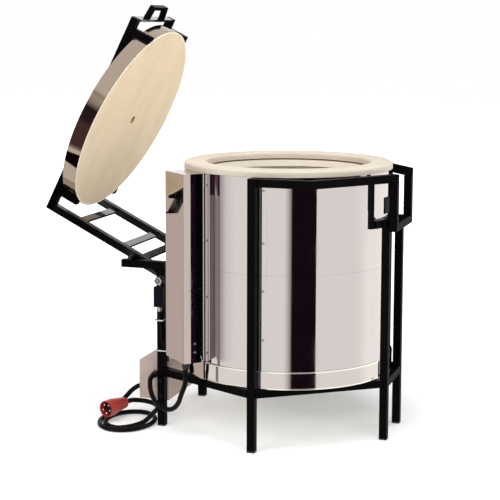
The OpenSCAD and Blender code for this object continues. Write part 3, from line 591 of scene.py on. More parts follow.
@dataclass(frozen=True)
class RefractoryFinish:
    """Cast or cut refractory: chalky, with soft streaks and small pores."""

    name: str
    colour: Colour
    tint: Colour
    stretch: Point
    amount: float = 0.6
    roughness: float = 0.9
    spread: float = 0.05
    # Small specks: how much darker than the colour, their scale and how strongly they show
    speck_shade: float = 0.93
    speck_scale: float = 70.0
    speck_amount: float = 0.4
    pores: float = 260.0
    # Scale of the coarse pores as a share of the fine ones, and their share of the height
    coarse: float = 0.25
    coarse_share: float = 0.5
    bump: float = 0.35
    depth: float = 0.0015

    def build(self) -> Material:
        """Returns the finished material."""
        material, shader = blank_material(self.name)
        streaks = add_group(
            material,
            EFFECTS.streaks,
            Colour=rgba(self.colour),
            Tint=rgba(self.tint),
            Stretch=self.stretch,
            Amount=self.amount,
        )
        specks = tuple(channel * self.speck_shade for channel in self.colour)
        mottle = add_group(
            material,
            EFFECTS.mottle,
            Colour=streaks.outputs["Colour"],
            Tint=rgba(specks),
            Scale=self.speck_scale,
            Amount=self.speck_amount,
            Roughness=self.roughness,
            Spread=self.spread,
        )
        for output, label in (("Colour", "Base Color"), ("Roughness", "Roughness")):
            feed(material.node_tree, shader.inputs[label], mottle.outputs[output])
        grain = add_group(
            material,
            EFFECTS.grain,
            Scale=self.pores,
            Coarse=self.pores * self.coarse,
            Share=self.coarse_share,
        )
        add_bump(material, grain.outputs["Height"], self.bump, self.depth)
        return material


Finish = CoatFinish | SteelFinish | RefractoryFinish

MIRROR_SHEET = SteelFinish("mirror_sheet", (0.66, 0.605, 0.585), 0.03)
BASE_SHEET = SteelFinish("base_sheet", (0.68, 0.62, 0.59), 0.05)
FASTENER = SteelFinish("bright_fastener", (0.46, 0.44, 0.42), 0.2, spread=0.12, ripple=30.0, bump=0.3)
CHAMBER_BRICK = RefractoryFinish("chamber_brick", (0.94, 0.88, 0.79), (0.88, 0.80, 0.69), (5.0, 5.0, 5.0))

FINISHES: dict[Slot, Finish] = {
    Slot.BLACK_PAINT: CoatFinish(
        "satin_black_paint", (0.0015, 0.001, 0.0013), (0.003, 0.002, 0.0025), 0.3, specular=0.03
    ),
    Slot.POLISHED_STEEL: MIRROR_SHEET,
    Slot.BASE_STEEL: BASE_SHEET,
    Slot.BRIGHT_STEEL: FASTENER,
    Slot.BLACK_PLASTIC: CoatFinish("black_moulding", (0.012, 0.012, 0.012), (0.022, 0.021, 0.021), 0.45),
    Slot.SWITCH_PLASTIC: CoatFinish(
        "switch_moulding", (0.003, 0.0032, 0.006), (0.008, 0.009, 0.018), 0.4, specular=0.06
    ),
    Slot.DARK_PLASTIC: CoatFinish("contactor_moulding", (0.10, 0.10, 0.105), (0.14, 0.14, 0.145), 0.5),
    Slot.BOARD: CoatFinish("fibre_board", (0.72, 0.69, 0.63), (0.64, 0.6, 0.53), 0.92, bump=0.3),
    Slot.BLANKET: CoatFinish("fibre_blanket", (0.84, 0.83, 0.79), (0.76, 0.74, 0.69), 0.95, bump=0.4),
    Slot.BRICK: CHAMBER_BRICK,
    Slot.REFRACTORY: RefractoryFinish("cast_lid", (0.84, 0.695, 0.49), (0.75, 0.60, 0.405), (1.5, 9.0, 3.0)),
    Slot.ELEMENT_WIRE: CoatFinish(
        "oxidised_wire", (0.16, 0.13, 0.11), (0.27, 0.22, 0.18), 0.5, metallic=0.8
    ),
    Slot.PORCELAIN: CoatFinish("glazed_porcelain", (0.80, 0.77, 0.7), (0.74, 0.7, 0.62), 0.28, coat=0.3),
    Slot.GREY_PAINT: CoatFinish("warm_grey_paint", (0.53, 0.41, 0.355), (0.46, 0.355, 0.31), 0.4),
    Slot.CABLE_RUBBER: CoatFinish(
        "cable_sheath", (0.0025, 0.002, 0.002), (0.006, 0.005, 0.005), 0.34, specular=0.1
    ),
    Slot.WHITE_PLASTIC: CoatFinish("tie_plastic", (0.80, 0.80, 0.79), (0.72, 0.72, 0.7), 0.35),
    Slot.RED_PLASTIC: CoatFinish("red_moulding", (0.40, 0.035, 0.03), (0.3, 0.02, 0.02), 0.36),
    Slot.PLUG_DARK: CoatFinish("plug_face", (0.06, 0.012, 0.012), (0.03, 0.008, 0.008), 0.5),
    Slot.PIN_METAL: SteelFinish("pin_metal", (0.75, 0.70, 0.6), 0.18, spread=0.1, ripple=40.0),
}

# Nodes whose finish differs a little from the rest of their slot, or gets a shaded zone of its own
NODE_FINISHES: dict[str, Finish] = {
    "collar": RefractoryFinish("cast_collar", (0.66, 0.59, 0.50), (0.59, 0.515, 0.42), (3.0, 3.0, 6.0)),
    "base_tray": replace(BASE_SHEET, name="tray_sheet"),
    "brick_upper": replace(CHAMBER_BRICK, name="rim_brick"),
    "terminal_cover": replace(MIRROR_SHEET, name="terminal_sheet"),
    "hinge_bolt": replace(FASTENER, name="hinge_steel"),
    "lid_band": SteelFinish("lid_sheet", (0.43, 0.345, 0.27), 0.06),
    "lever_bars": CoatFinish(
        "gloss_black_paint", (0.006, 0.005, 0.005), (0.011, 0.009, 0.009), 0.14, coat=1.0
    ),
    "ladder": CoatFinish("ladder_paint", (0.002, 0.0015, 0.0015), (0.004, 0.003, 0.003), 0.2, specular=0.4),
    "box_bolts": CoatFinish(
        "blackened_bolt", (0.003, 0.0025, 0.0025), (0.006, 0.005, 0.005), 0.4, specular=0.1
    ),
}


class Palette:
    """Builds each finish once and hands it out by slot or node."""

    def __init__(self) -> None:
        """Starts with nothing built."""
        self.made: dict[str, Material] = {}

    def get(self, slot: Slot, node: str = "") -> Material:
        """Returns the material of a node, or else of its slot.

        Args:
            slot: The record's material slot.
            node: The CAD node, where it may have a finish of its own.

        Returns:
            The material, built on first use.
        """
        finish = NODE_FINISHES.get(node, FINISHES[slot])
        if finish.name not in self.made:
            self.made[finish.name] = finish.build()
        return self.made[finish.name]


PALETTE = Palette()


def seat(piece: Piece, slot: Slot, node: str) -> None:
    """Finishes a new piece and ties it to the stand.

    Args:
        piece: The new piece, in place.
        slot: The record's material slot.
        node: CAD node that it stands for.
    """
    piece.data.materials.clear()
    piece.data.materials.append(PALETTE.get(slot))
    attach(piece, STAND)
    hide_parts(node)
    LOG.info("%s rides on %s", piece.name, STAND)


# Camera and studio


@dataclass(frozen=True)
class Lamp:
    """A soft square lamp: its place, the point that it faces and its edge in metres, and its power."""

    name: str
    at: Point
    aim: Point
    size: float
    watts: float


LAMPS: tuple[Lamp, ...] = (
    Lamp("key", at=(-1.6, -3.0, 3.6), aim=(0.1, 0.0, 0.6), size=2.4, watts=60.0),
    Lamp("fill", at=(2.9, -2.9, 1.1), aim=(-0.2, 0.0, 1.0), size=2.2, watts=62.0),
    Lamp("top", at=(0.4, -0.6, 4.2), aim=(0.2, 0.0, 0.8), size=2.0, watts=74.0),
    Lamp("lid_fill", at=(1.5, 1.3, 0.95), aim=(-0.35, 0.1, 1.0), size=1.0, watts=12.0),
)


@dataclass(frozen=True)
class StandCard:
    """A tall card that stands round the kiln.

    Its edges are in degrees to the right of the front, seen from the kiln axis. Its foot is in metres
    and its tones run from left to right.
    """

    name: str
    left: float
    right: float
    tones: Tones
    foot: float = -3.0


@dataclass(frozen=True)
class SlimCard:
    """A narrow card close to the kiln.

    It stands on the middle of its foot. Its half width and its height are in metres, and its turn about
    the vertical is in degrees from facing the terminal box side.
    """

    name: str
    at: Point
    half: float
    high: float
    turn: float
    tones: Tones


@dataclass(frozen=True)
class HungCard:
    """A card close to the lid, along a line that the lid's band mirrors.

    Its half width is in metres and its tones run from the upper end of the line to the lower end.
    """

    name: str
    top: Point
    low: Point
    half: float
    tones: Tones


WHITE: Colour = (1.0, 1.0, 1.0)
GLOW: Colour = (1.2, 1.21, 1.19)
GREY: Colour = (0.52, 0.5, 0.47)
WARM: Colour = (0.62, 0.54, 0.485)
DIM: Colour = (0.17, 0.15, 0.155)
BROWN: Colour = (0.12, 0.065, 0.072)
DARK: Colour = (0.0105, 0.0045, 0.0088)
# Lower edge in metres of the two cards that fade the left side of the casing
FADE_FOOT = -0.43

STAND_CARDS: tuple[StandCard, ...] = (
    StandCard(
        "dark_card",
        left=-5.0,
        right=27.8,
        tones=(
            (0.0, WHITE),
            (0.1, (0.76, 0.74, 0.74)),
            (0.17, (0.52, 0.5, 0.49)),
            (0.21, (0.32, 0.29, 0.28)),
            (0.25, DARK),
            (1.0, DARK),
        ),
    ),
    StandCard("left_dim_card", left=-114.0, right=-88.0, tones=even(DIM), foot=FADE_FOOT),
    StandCard(
        "left_fade_card",
        left=-88.0,
        right=-58.0,
        tones=(
            (0.0, DIM),
            (0.23, (0.31, 0.285, 0.29)),
            (0.41, (0.49, 0.48, 0.465)),
            (0.52, (0.63, 0.62, 0.6)),
            (0.59, (0.76, 0.755, 0.74)),
            (0.7, (0.87, 0.865, 0.86)),
            (1.0, WHITE),
        ),
        foot=FADE_FOOT,
    ),
    StandCard(
        "right_glow_card",
        left=72.0,
        right=140.0,
        tones=(
            (0.0, WHITE),
            (0.08, (1.01, 1.01, 1.01)),
            (0.17, (1.06, 1.06, 1.06)),
            (0.26, (1.16, 1.17, 1.15)),
            (0.35, GLOW),
            (1.0, (1.23, 1.24, 1.22)),
        ),
    ),
    StandCard("right_dark_card", left=140.0, right=177.0, tones=even(DARK)),
    StandCard("left_warm_card", left=-142.0, right=-114.0, tones=even(WARM)),
)

# The photographed sheet shows no image of the near handle leg and of the catch bar, so cards cover them
SLIM_CARDS: tuple[SlimCard, ...] = (
    SlimCard("leg_card", (8.5, -387, 2), half=0.0125, high=0.85, turn=90.0, tones=even(DARK)),
    SlimCard("handle_leg_card", (338, -108, 2), half=0.025, high=0.85, turn=-53.0, tones=even(GLOW)),
    SlimCard(
        "catch_card",
        (304.6, -181.5, 655),
        half=0.0217,
        high=0.215,
        turn=-79.0,
        tones=((0.0, (1.1, 1.11, 1.1)), (1.0, WHITE)),
    ),
    SlimCard(
        "catch_foot_card",
        (309, -150, 655),
        half=0.022,
        high=0.085,
        turn=-69.0,
        tones=even((1.14, 1.15, 1.13)),
    ),
    SlimCard(
        "terminal_card", (-223, -360, 2), half=0.0175, high=0.85, turn=0.0, tones=even((0.29, 0.25, 0.265))
    ),
    SlimCard("terminal_side_card", (-424, -249, 2), half=0.031, high=0.7, turn=71.0, tones=even(WARM)),
    SlimCard("ladder_card", (-760, -400, 450), half=0.17, high=0.36, turn=0.0, tones=even(DARK)),
    SlimCard(
        "patch_card", (-221, -359, 775), half=0.0155, high=0.08, turn=0.0, tones=even((0.04, 0.02, 0.045))
    ),
)

LID_CARD = HungCard(
    "lid_card",
    top=(-551, -659, 1280),
    low=(-808, -496, 769),
    half=0.14,
    tones=(
        (0.0, WHITE),
        (0.08, GREY),
        (0.14, (0.72, 0.7, 0.66)),
        (0.25, GREY),
        (0.34, (0.035, 0.02, 0.026)),
        (0.52, (0.05, 0.028, 0.033)),
        (0.6, BROWN),
        (0.93, BROWN),
        (1.0, GREY),
    ),
)


def flat_sheet(name: str, corners: list[Point], material: Material) -> Piece:
    """Makes a flat four-cornered piece of the stage.

    Args:
        name: Name of the piece.
        corners: Its corners in order, in metres.
        material: Its material.

    Returns:
        The piece.
    """
    mesh = bpy.data.meshes.new(name)
    mesh.from_pydata(corners, [], [(0, 1, 2, 3)])
    mesh.materials.append(material)
    piece = bpy.data.objects.new(name, mesh)
    bpy.context.collection.objects.link(piece)
    return piece


@dataclass
class Studio:
    """Camera, floor, light and reflector cards."""

    sensor: float = 36.0
    lens: float = 96.45
    camera_at: Point = (1248.2, -4172.07, 1311.58)
    yaw: float = -19.5414
    pitch: float = -7.0735
    shift: Spot = (0.058, -0.1185)
    floor_size: float = 40.0
    floor_tone: Colour = (0.78, 0.78, 0.78)
    floor_roughness: float = 0.9
    # Middle of the painted shadow on the floor, and the floor's painted glow, which only the camera sees, by
    # distance from it in metres
    painted_shadow_at: Point = (50.0, 250.0, 0.0)
    painted_shadow_reach: float = 3.0
    floor_painted_glow: tuple[Spot, ...] = ((0.14, 0.0), (0.31, 0.2), (0.47, 0.35), (0.9, 0.36), (3.0, 1.0))
    # Strength of the surround as a fill light, where neither the camera nor a reflection sees it
    fill: float = 0.55
    # The cards round the kiln: distance and upper edge in metres, and the bearing of their front from +X
    card_reach: float = 3.0
    card_top: float = 3.2
    card_front: float = -71.83
    # Rough direction of the lid card's normal, away from the kiln
    hung_normal: Point = (-0.45, -0.87, -0.1)

    def build(self) -> None:
        """Makes the camera, the floor, the light and the cards."""
        self._camera()
        self._floor()
        self._world()
        for lamp in LAMPS:
            self._lamp(lamp)
        for standing in STAND_CARDS:
            self._stand_card(standing)
        for slim in SLIM_CARDS:
            self._slim_card(slim)
        self._hang_card(LID_CARD)
        bpy.context.scene.view_settings.view_transform = "Standard"

    def _camera(self) -> None:
        """Sets the camera at the viewing angle of the photograph."""
        data = bpy.data.cameras.new("camera")
        data.sensor_width = self.sensor
        data.lens = self.lens
        data.shift_x, data.shift_y = self.shift
        camera = bpy.data.objects.new("camera", data)
        camera.location = place(*self.camera_at)
        camera.rotation_euler = (math.radians(90 + self.pitch), 0.0, math.radians(-self.yaw))
        bpy.context.collection.objects.link(camera)
        bpy.context.scene.camera = camera

    def _floor(self) -> None:
        """Lays a pale floor that keeps the soft shadow, and paints a soft shadow into its glow round one
        point.
        """
        material, shader = blank_material("pale_floor")
        shader.inputs["Base Color"].default_value = rgba(self.floor_tone)
        shader.inputs["Roughness"].default_value = self.floor_roughness
        shader.inputs["Specular IOR Level"].default_value = 0.0
        shader.inputs["Emission Color"].default_value = rgba(WHITE)
        tree = material.node_tree
        # Painted shadow and light: the glow that the camera sees is low near one point and rises with
        # distance from it
        offset = reckon_vector(tree, "SUBTRACT", own_place(tree), place(*self.painted_shadow_at))
        reach = reckon_vector(tree, "LENGTH", offset.outputs["Vector"])
        share = band(tree, reach.outputs["Value"], 0.0, self.painted_shadow_reach)
        tones = tuple((far / self.painted_shadow_reach, (level, level, level)) for far, level in self.floor_painted_glow)
        seen = tree.nodes.new("ShaderNodeLightPath").outputs["Is Camera Ray"]
        painted_glow = reckon(tree, "MULTIPLY", seen, tone_ramp(material, share, tones))
        feed(tree, shader.inputs["Emission Strength"], painted_glow)
        half = self.floor_size / 2
        corners = [(-half, -half, 0), (half, -half, 0), (half, half, 0), (-half, half, 0)]
        floor = flat_sheet("floor", corners, material)
        floor.visible_glossy = False

    def _world(self) -> None:
        """Gives a white surround to the camera and to reflections, and an even fill."""
        world = bpy.data.worlds.new("studio")
        bpy.context.scene.world = world
        world.use_nodes = True
        tree = world.node_tree
        back = tree.nodes["Background"]
        back.inputs["Color"].default_value = rgba(WHITE)
        ray = tree.nodes.new("ShaderNodeLightPath").outputs
        seen = reckon(tree, "MAXIMUM", ray["Is Camera Ray"], ray["Is Glossy Ray"])
        clear = reckon(tree, "MAXIMUM", seen, ray["Is Transmission Ray"])
        feed(tree, back.inputs["Strength"], reckon(tree, "MULTIPLY_ADD", clear, 1.0 - self.fill, self.fill))

    @staticmethod
    def _lamp(lamp: Lamp) -> None:
        """Hangs one lamp, which reflections don't show.

        Args:
            lamp: The lamp.
        """
        data = bpy.data.lights.new(lamp.name, "AREA")
        data.size = lamp.size
        data.energy = lamp.watts
        light = bpy.data.objects.new(lamp.name, data)
        light.location = lamp.at
        light.rotation_euler = (Vector(lamp.aim) - Vector(lamp.at)).to_track_quat("-Z", "Y").to_euler()
        light.visible_glossy = False
        bpy.context.collection.objects.link(light)

    @staticmethod
    def _card_cloth(name: str, tones: Tones, half: float) -> Material:
        """Makes the cloth of a card, which runs through its tones from edge to edge.

        Args:
            name: Name of the material.
            tones: Colours with their share of the way from the -X edge to the +X edge.
            half: Half width of the card in metres.

        Returns:
            The material.
        """
        material, shader = blank_material(name)
        shader.inputs["Base Color"].default_value = (0.0, 0.0, 0.0, 1.0)
        shader.inputs["Specular IOR Level"].default_value = 0.0
        shader.inputs["Emission Strength"].default_value = 1.0
        tree = material.node_tree
        share = band(tree, own_coordinate(tree, "X"), -half, half)
        feed(tree, shader.inputs["Emission Color"], tone_ramp(material, share, tones))
        return material

    def _card(self, name: str, half: float, low: float, high: float, tones: Tones) -> Piece:
        """Makes a card that only reflections see.

        Args:
            name: Name of the card.
            half: Half width in metres.
            low: Lower edge in metres.
            high: Upper edge in metres.
            tones: Its tones from the -X edge to the +X edge.

        Returns:
            The card, upright at the origin.
        """
        corners = [(-half, 0, low), (half, 0, low), (half, 0, high), (-half, 0, high)]
        card = flat_sheet(name, corners, self._card_cloth(name + "_cloth", tones, half))
        card.visible_camera = False
        card.visible_diffuse = False
        card.visible_shadow = False
        card.visible_transmission = False
        return card

    def _stand_card(self, card: StandCard) -> None:
        """Stands a card round the kiln.

        Args:
            card: The card.
        """
        middle = math.radians((card.left + card.right) / 2 + self.card_front)
        half = math.tan(math.radians((card.right - card.left) / 2)) * self.card_reach
        stood = self._card(card.name, half, card.foot, self.card_top, card.tones)
        out = Vector((math.cos(middle), math.sin(middle), 0.0))
        stood.location = place(0.0, 0.0, 0.0) + out * self.card_reach
        stood.rotation_euler = (0.0, 0.0, middle + math.pi / 2)

    def _slim_card(self, card: SlimCard) -> None:
        """Stands a narrow card close to the kiln.

        Args:
            card: The card.
        """
        stood = self._card(card.name, card.half, 0.0, card.high, card.tones)
        stood.location = place(*card.at)
        stood.rotation_euler = (0.0, 0.0, math.radians(card.turn))

    def _hang_card(self, card: HungCard) -> None:
        """Hangs a card close to the lid.

        Args:
            card: The card.
        """
        start, end = place(*card.top), place(*card.low)
        run = end - start
        hung = self._card(card.name, run.length / 2, -card.half, card.half, card.tones)
        along = run.normalized()
        normal = Vector(self.hung_normal)
        normal = (normal - normal.dot(along) * along).normalized()
        hung.location = (start + end) / 2
        hung.rotation_euler = Matrix((along, normal, along.cross(normal))).transposed().to_euler()


# Cords and coils


def catmull(points: list[Vector], steps: int) -> list[Vector]:
    """Runs one smooth curve through a list of points.

    Args:
        points: The points of the route.
        steps: New points for each stretch.

    Returns:
        The points of the smooth curve.
    """
    last = len(points) - 1
    made: list[Vector] = []
    for i in range(last):
        a, b, c, d = points[max(i - 1, 0)], points[i], points[i + 1], points[min(i + 2, last)]
        slope = c - a
        bend = 2 * a - 5 * b + 4 * c - d
        twist = 3 * b - a - 3 * c + d
        for k in range(steps):
            f = k / steps
            made.append(0.5 * (2 * b + slope * f + bend * f * f + twist * f * f * f))
    made.append(points[-1].copy())
    return made


def wire(name: str, lines: list[list[Vector]], radius: float, facets: int, closed: bool = False) -> Piece:
    """Makes round wire along one or more lines, all as one piece.

    Args:
        name: Name of the piece.
        lines: The lines that it follows, in metres.
        radius: Radius in metres.
        facets: Resolution of its round section.
        closed: Whether each line closes on itself.

    Returns:
        The curve object.
    """
    data = bpy.data.curves.new(name, "CURVE")
    data.dimensions = "3D"
    data.bevel_depth = radius
    data.bevel_resolution = facets
    data.use_fill_caps = not closed
    for line in lines:
        spline = data.splines.new("POLY")
        spline.use_smooth = True
        spline.use_cyclic_u = closed
        spline.points.add(len(line) - 1)
        for target, point in zip(spline.points, line):
            target.co = (*point, 1.0)
    piece = bpy.data.objects.new(name, data)
    bpy.context.collection.objects.link(piece)
    return piece


@dataclass
class Cords:
    """The power cord, the link cable and the lid switch cable."""

    cord_r: float = 8.0
    thin_r: float = 4.0
    facets: int = 5
    # New points for each stretch of the power cord and of the two short leads
    cord_steps: int = 5
    lead_steps: int = 6
    gap: float = 0.3
    loop_at: Spot = (-485.0, -203.0)
    loop_r: float = 93.2
    loop_oval: float = 1.27
    loop_pitch: float = 18.0
    loop_turns: float = 1.5
    loop_rings: int = 24
    # The last part of the turns climbs off the floor: its share of a turn and its climb per turn
    climb_share: float = 0.25
    climb_rate: float = 40.0
    plug_face: Spot = (-556.7, -228.2)
    plug_dir: Spot = (0.275, 0.961)
    plug_len: float = 105.0
    plug_r: float = 27.0
    key_h: float = 2.5
    # The bend behind the plug: the straight run to it, its radius, the height that it starts from, its
    # steps, and the steps that it takes to reach the plug's height
    tail_run: float = 9.0
    tail_r: float = 56.0
    tail_low: float = 30.0
    tail_steps: int = 8
    tail_rise_steps: int = 7
    feed_run: list[Point] = field(
        default_factory=lambda: [
            (-479.2, -95, 98),
            (-490.6, -95, 98),
            (-505, -94.5, 91),
            (-523, -96, 76),
            (-543, -104, 52),
            (-562, -122, 27),
            (-574, -146, 12),
        ]
    )
    climb_run: list[Point] = field(
        default_factory=lambda: [
            (-417.5, -187, 21.5),
            (-416.4, -169, 25),
            (-415.8, -151, 28),
        ]
    )
    link_route: list[Point] = field(
        default_factory=lambda: [
            (-397.8, -201.8, 168),
            (-396.8, -222, 166),
            (-393, -240, 155),
            (-386, -252, 133),
            (-374, -258, 108),
            (-354, -262, 88),
            (-328, -268, 79),
            (-300, -277, 85),
            (-276, -290, 108),
            (-259, -303, 143),
            (-244.8, -305.9, 180),
            (-241.8, -310.9, 211),
            (-240.8, -311.9, 228.7),
        ]
    )
    switch_route: list[Point] = field(
        default_factory=lambda: [
            (-367.2, -216.8, 387.2),
            (-367.2, -216.8, 375.5),
            (-366, -212, 352),
            (-366, -208, 330),
            (-365, -207.5, 300),
            (-360, -208, 280),
            (-353, -205, 264),
            (-351.5, -194, 252),
            (-352.2, -183, 247),
            (-355.5, -171, 243.5),
            (-362, -163, 241),
            (-365, -160.2, 237),
            (-365, -160.2, 229.6),
        ]
    )

    def _loop(self, share: float) -> Point:
        """Returns a point of the flat turns on the floor, by turns from the left."""
        radius = self.loop_r - self.loop_pitch * share
        turn = math.radians(180 + 360 * share)
        rise = max(0.0, self.climb_rate * (share - self.loop_turns + self.climb_share))
        x = self.loop_at[0] + radius * math.cos(turn)
        y = self.loop_at[1] + self.loop_oval * radius * math.sin(turn)
        return (x, y, self.cord_r + self.gap + rise)

    def _tail(self, rear: Spot, height: float) -> list[Point]:
        """Bends the cord up and round to the back of the plug.

        Args:
            rear: Middle of the plug's back.
            height: Height of the plug's axis.

        Returns:
            The points of the bend.
        """
        dx, dy = self.plug_dir
        end = (rear[0] + dx * self.tail_run, rear[1] + dy * self.tail_run)
        centre = (end[0] + self.tail_r * dy, end[1] - self.tail_r * dx)
        sweep = math.radians(180) - math.atan2(dx, dy)
        made: list[Point] = []
        for i in range(self.tail_steps + 1):
            turn = sweep * i / self.tail_steps
            rise = (height - self.tail_low) * min(1.0, i / self.tail_rise_steps)
            x = centre[0] + self.tail_r * math.cos(turn)
            y = centre[1] + self.tail_r * math.sin(turn)
            made.append((x, y, self.tail_low + rise))
        return made

    def power_path(self) -> list[Vector]:
        """Returns the route of the power cord from the switch box to the plug."""
        dx, dy = self.plug_dir
        height = 2 * (self.cord_r + self.gap) + self.key_h + self.plug_r
        rear = (self.plug_face[0] + dx * self.plug_len, self.plug_face[1] + dy * self.plug_len)
        count = int(self.loop_rings * self.loop_turns)
        route: list[Point] = list(self.feed_run)
        route += [self._loop(i / self.loop_rings) for i in range(count + 1)]
        route += self.climb_run
        route += self._tail(rear, height)
        route.append((rear[0] + dx * self.gap, rear[1] + dy * self.gap, height))
        return [place(*point) for point in route]

    def build(self) -> None:
        power = catmull(self.power_path(), self.cord_steps)
        lead = wire("power_lead", [power], self.cord_r * MM, self.facets)
        seat(lead, Slot.CABLE_RUBBER, "power_cord")
        for name, route, radius, node in (
            ("link_lead", self.link_route, self.cord_r, "link_cable"),
            ("switch_lead", self.switch_route, self.thin_r, "switch_cable"),
        ):
            path = catmull([place(*point) for point in route], self.lead_steps)
            lead = wire(name, [path], radius * MM, self.facets)
            seat(lead, Slot.CABLE_RUBBER, node)


@dataclass
class Chamber:
    """Wound heating elements in the grooves of the chamber bricks."""

    groove_r: float = 269.0
    coil_r: float = 3.3
    wire_r: float = 0.85
    pitch: float = 9.0
    # Points for each winding, and the resolution of the wire's round section
    steps: int = 10
    facets: int = 1
    floor_z: float = 301.3
    course_h: float = 183.067
    courses: int = 3
    grooves: int = 3

    def _coil(self, height: float) -> list[Vector]:
        """Returns the closed line of the coil in the groove at a height."""
        count = round(2 * math.pi * self.groove_r / self.pitch) * self.steps
        line: list[Vector] = []
        for k in range(count):
            around = 2 * math.pi * k / count
            wind = 2 * math.pi * k / self.steps
            radius = self.groove_r + self.coil_r * math.cos(wind)
            rise = self.coil_r * math.sin(wind)
            line.append(place(radius * math.cos(around), radius * math.sin(around), height + rise))
        return line

    def build(self) -> None:
        """Winds one coil for each groove, all as one piece."""
        lines: list[list[Vector]] = []
        for index in range(self.courses * self.grooves):
            course, groove = divmod(index, self.grooves)
            share = course + (groove + 0.5) / self.grooves
            lines.append(self._coil(self.floor_z + self.course_h * share))
        coils = wire("element_coils", lines, self.wire_r * MM, self.facets, closed=True)
        seat(coils, Slot.ELEMENT_WIRE, "elements")


# Nodes that keep their own shape


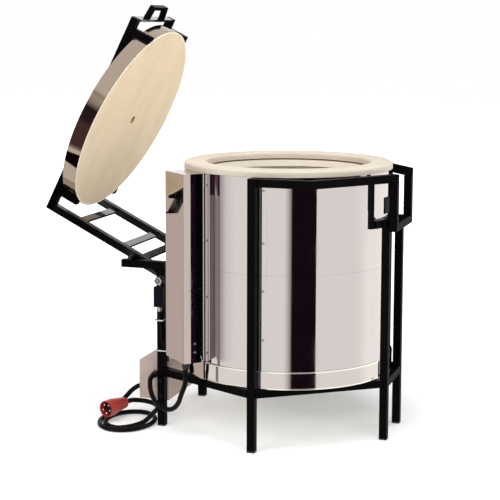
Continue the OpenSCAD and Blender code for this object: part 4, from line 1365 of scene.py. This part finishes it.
@dataclass
class Dressing:
    """Finishes of the nodes that keep their own shape."""

    edge: float = 0.9
    edge_segments: int = 2
    # Edges that turn by more than this many degrees are rounded
    edge_angle: float = 40.0
    slab_edge: float = 3.0
    vent_r: float = 13.0
    # Distance from the vent's wall where its painted shade ends and where it is full
    vent_shade_fade: Spot = (0.8, 0.2)
    vent_painted_shade: Colour = (0.40, 0.31, 0.15)
    # Painted highlight along the rounded rim of the lid slab
    slab_rim_highlight: Colour = (0.98, 0.90, 0.76)
    # Width over which a roll, the flank and a stamped ring fade in
    fade: float = 1.0
    # Painted highlights along the rolled edges of the tray band: their height and colour
    roll_h: float = 4.5
    roll_painted_highlight: Colour = (1.0, 0.97, 0.88)
    # Painted shade along the top of the upper bricks, under the collar: its height and colour
    joint_h: float = 4.0
    joint_painted_shade: Colour = (0.16, 0.10, 0.055)
    # Painted shade over the reflection in the terminal cover's flank: its place, reach and colour
    flank_at: Spot = (-226.5, -336.0)
    flank_r: float = 11.5
    flank_painted_shade: Colour = (0.55, 0.466, 0.42)
    # The dark ring of the bolt head reaches in from the first radius to the second
    head_ring: Spot = (8.5, 5.0)
    head_dark: Colour = (0.06, 0.055, 0.05)
    head_middle: Colour = (0.32, 0.31, 0.3)
    rounded: tuple[str, ...] = (
        "hinge_legs",
        "hinge_bars",
        "side_legs",
        "top_bars",
        "handle_legs",
        "cross_bar",
        "handle_posts",
        "catch_bars",
        "frame_base",
        "lid_clamps",
        "lid_rails",
        "ladder",
        "lever_bars",
        "lid_handle",
        "leg_caps",
        "lid_switch",
        "box_body",
        "box_cover",
        "cable_ties",
    )

    def build(self) -> None:
        """Gives each node its finish and soft edges."""
        slots = {part["node"]: part["material_slot"] for part in frame["record"]["subparts"]}
        for name, node in frame["nodes"].items():
            material = PALETTE.get(Slot(slots[name]), name)
            node.data.materials.clear()
            node.data.materials.append(material)
            if name in self.rounded:
                self._soften(node, self.edge)
            LOG.info("%s dressed in %s", name, material.name)
        self._soften(frame["nodes"]["lid_slab"], self.slab_edge)
        self._shade_lid()
        self._shade_rim_joint()
        self._paint_tray_roll_highlights()
        self._shade_terminal_flank()
        self._ring_bolt_head()

    def _soften(self, node: Piece, width: float) -> None:
        """Rounds the sharp edges of a node.

        Args:
            node: The node.
            width: Width of the rounding in millimetres.
        """
        bevel = node.modifiers.new("soft_edges", "BEVEL")
        bevel.width = width * MM
        bevel.segments = self.edge_segments
        bevel.limit_method = "ANGLE"
        bevel.angle_limit = math.radians(self.edge_angle)

    def _shade_lid(self) -> None:
        """Paints shade on the wall of the vent hole and a highlight on the rim of the lid slab."""
        slab = frame["nodes"]["lid_slab"]
        material = slab.data.materials[0]
        corners, centre = own_box(slab)
        slab_r = max(corner.y for corner in corners) - centre.y
        hinge = next(j for j in frame["record"]["behaviour"]["joints"] if j["name"] == "lid_hinge")
        swing = math.radians(hinge["range_deg"][1])
        axis = Vector((math.sin(swing), 0.0, -math.cos(swing)))
        # Painted shade on the vent hole's wall, where the hole's own shade falls
        start, full = ((self.vent_r + fade) * MM for fade in self.vent_shade_fade)
        shade_zone(material, reach_mask(material, centre, axis, start, full), self.vent_painted_shade)
        soft = self.slab_edge * MM
        # Painted highlight: the rim of the slab is lightened where light catches its edge
        rim = reach_mask(material, centre, axis, slab_r - 2 * soft, slab_r - soft)
        shade_zone(material, rim, self.slab_rim_highlight)

    def _shade_rim_joint(self) -> None:
        """Paints shade into the gap where the top bricks meet the collar."""
        brick = frame["nodes"]["brick_upper"]
        material = brick.data.materials[0]
        top = max(corner.z for corner in own_box(brick)[0])
        # Painted shade: the top of the bricks is darkened where the collar shades the gap
        mask = height_mask(material, top - self.joint_h * MM, top - self.joint_h / 2 * MM)
        shade_zone(material, mask, self.joint_painted_shade)

    def _paint_tray_roll_highlights(self) -> None:
        """Paints highlights on the rolled edges at the top and the foot of the tray band."""
        tray = frame["nodes"]["base_tray"]
        material = tray.data.materials[0]
        heights = [corner.z for corner in own_box(tray)[0]]
        # Painted highlight: a brighter band of sheet colour at each rolled edge
        for edge, inward in ((max(heights), -1), (min(heights), 1)):
            start = edge + inward * self.roll_h * MM
            mask = height_mask(material, start, start - inward * self.fade * MM)
            shade_zone(material, mask, self.roll_painted_highlight)

    def _shade_terminal_flank(self) -> None:
        """Paints shade over the reflection in the narrow flank of the terminal cover beside its front edge.
        """
        material = frame["nodes"]["terminal_cover"].data.materials[0]
        edge = place(*self.flank_at, 0.0)
        start, full = (self.flank_r + self.fade) * MM, (self.flank_r - self.fade) * MM
        # Painted shade: the sheet reflects less here, so the flank's reflection is darker
        inside = reach_mask(material, edge, Vector((0, 0, 1)), start, full)
        shade_zone(material, inside, self.flank_painted_shade)

    def _ring_bolt_head(self) -> None:
        """Draws the dark stamped ring in the head of the hinge bolt."""
        bolt = frame["nodes"]["hinge_bolt"]
        material = bolt.data.materials[0]
        centre = own_box(bolt)[1]
        for radius, colour in zip(self.head_ring, (self.head_dark, self.head_middle)):
            inside = reach_mask(material, centre, Vector((0, 1, 0)), radius * MM, (radius - self.fade) * MM)
            shade_zone(material, inside, colour)


def main() -> None:
    """Builds the studio, the cords and every dressed piece in order."""
    logging.basicConfig(level=logging.INFO, format="%(name)s: %(message)s")
    Studio().build()
    Cords().build()
    Chamber().build()
    Dressing().build()


if __name__ == "__main__":
    main()
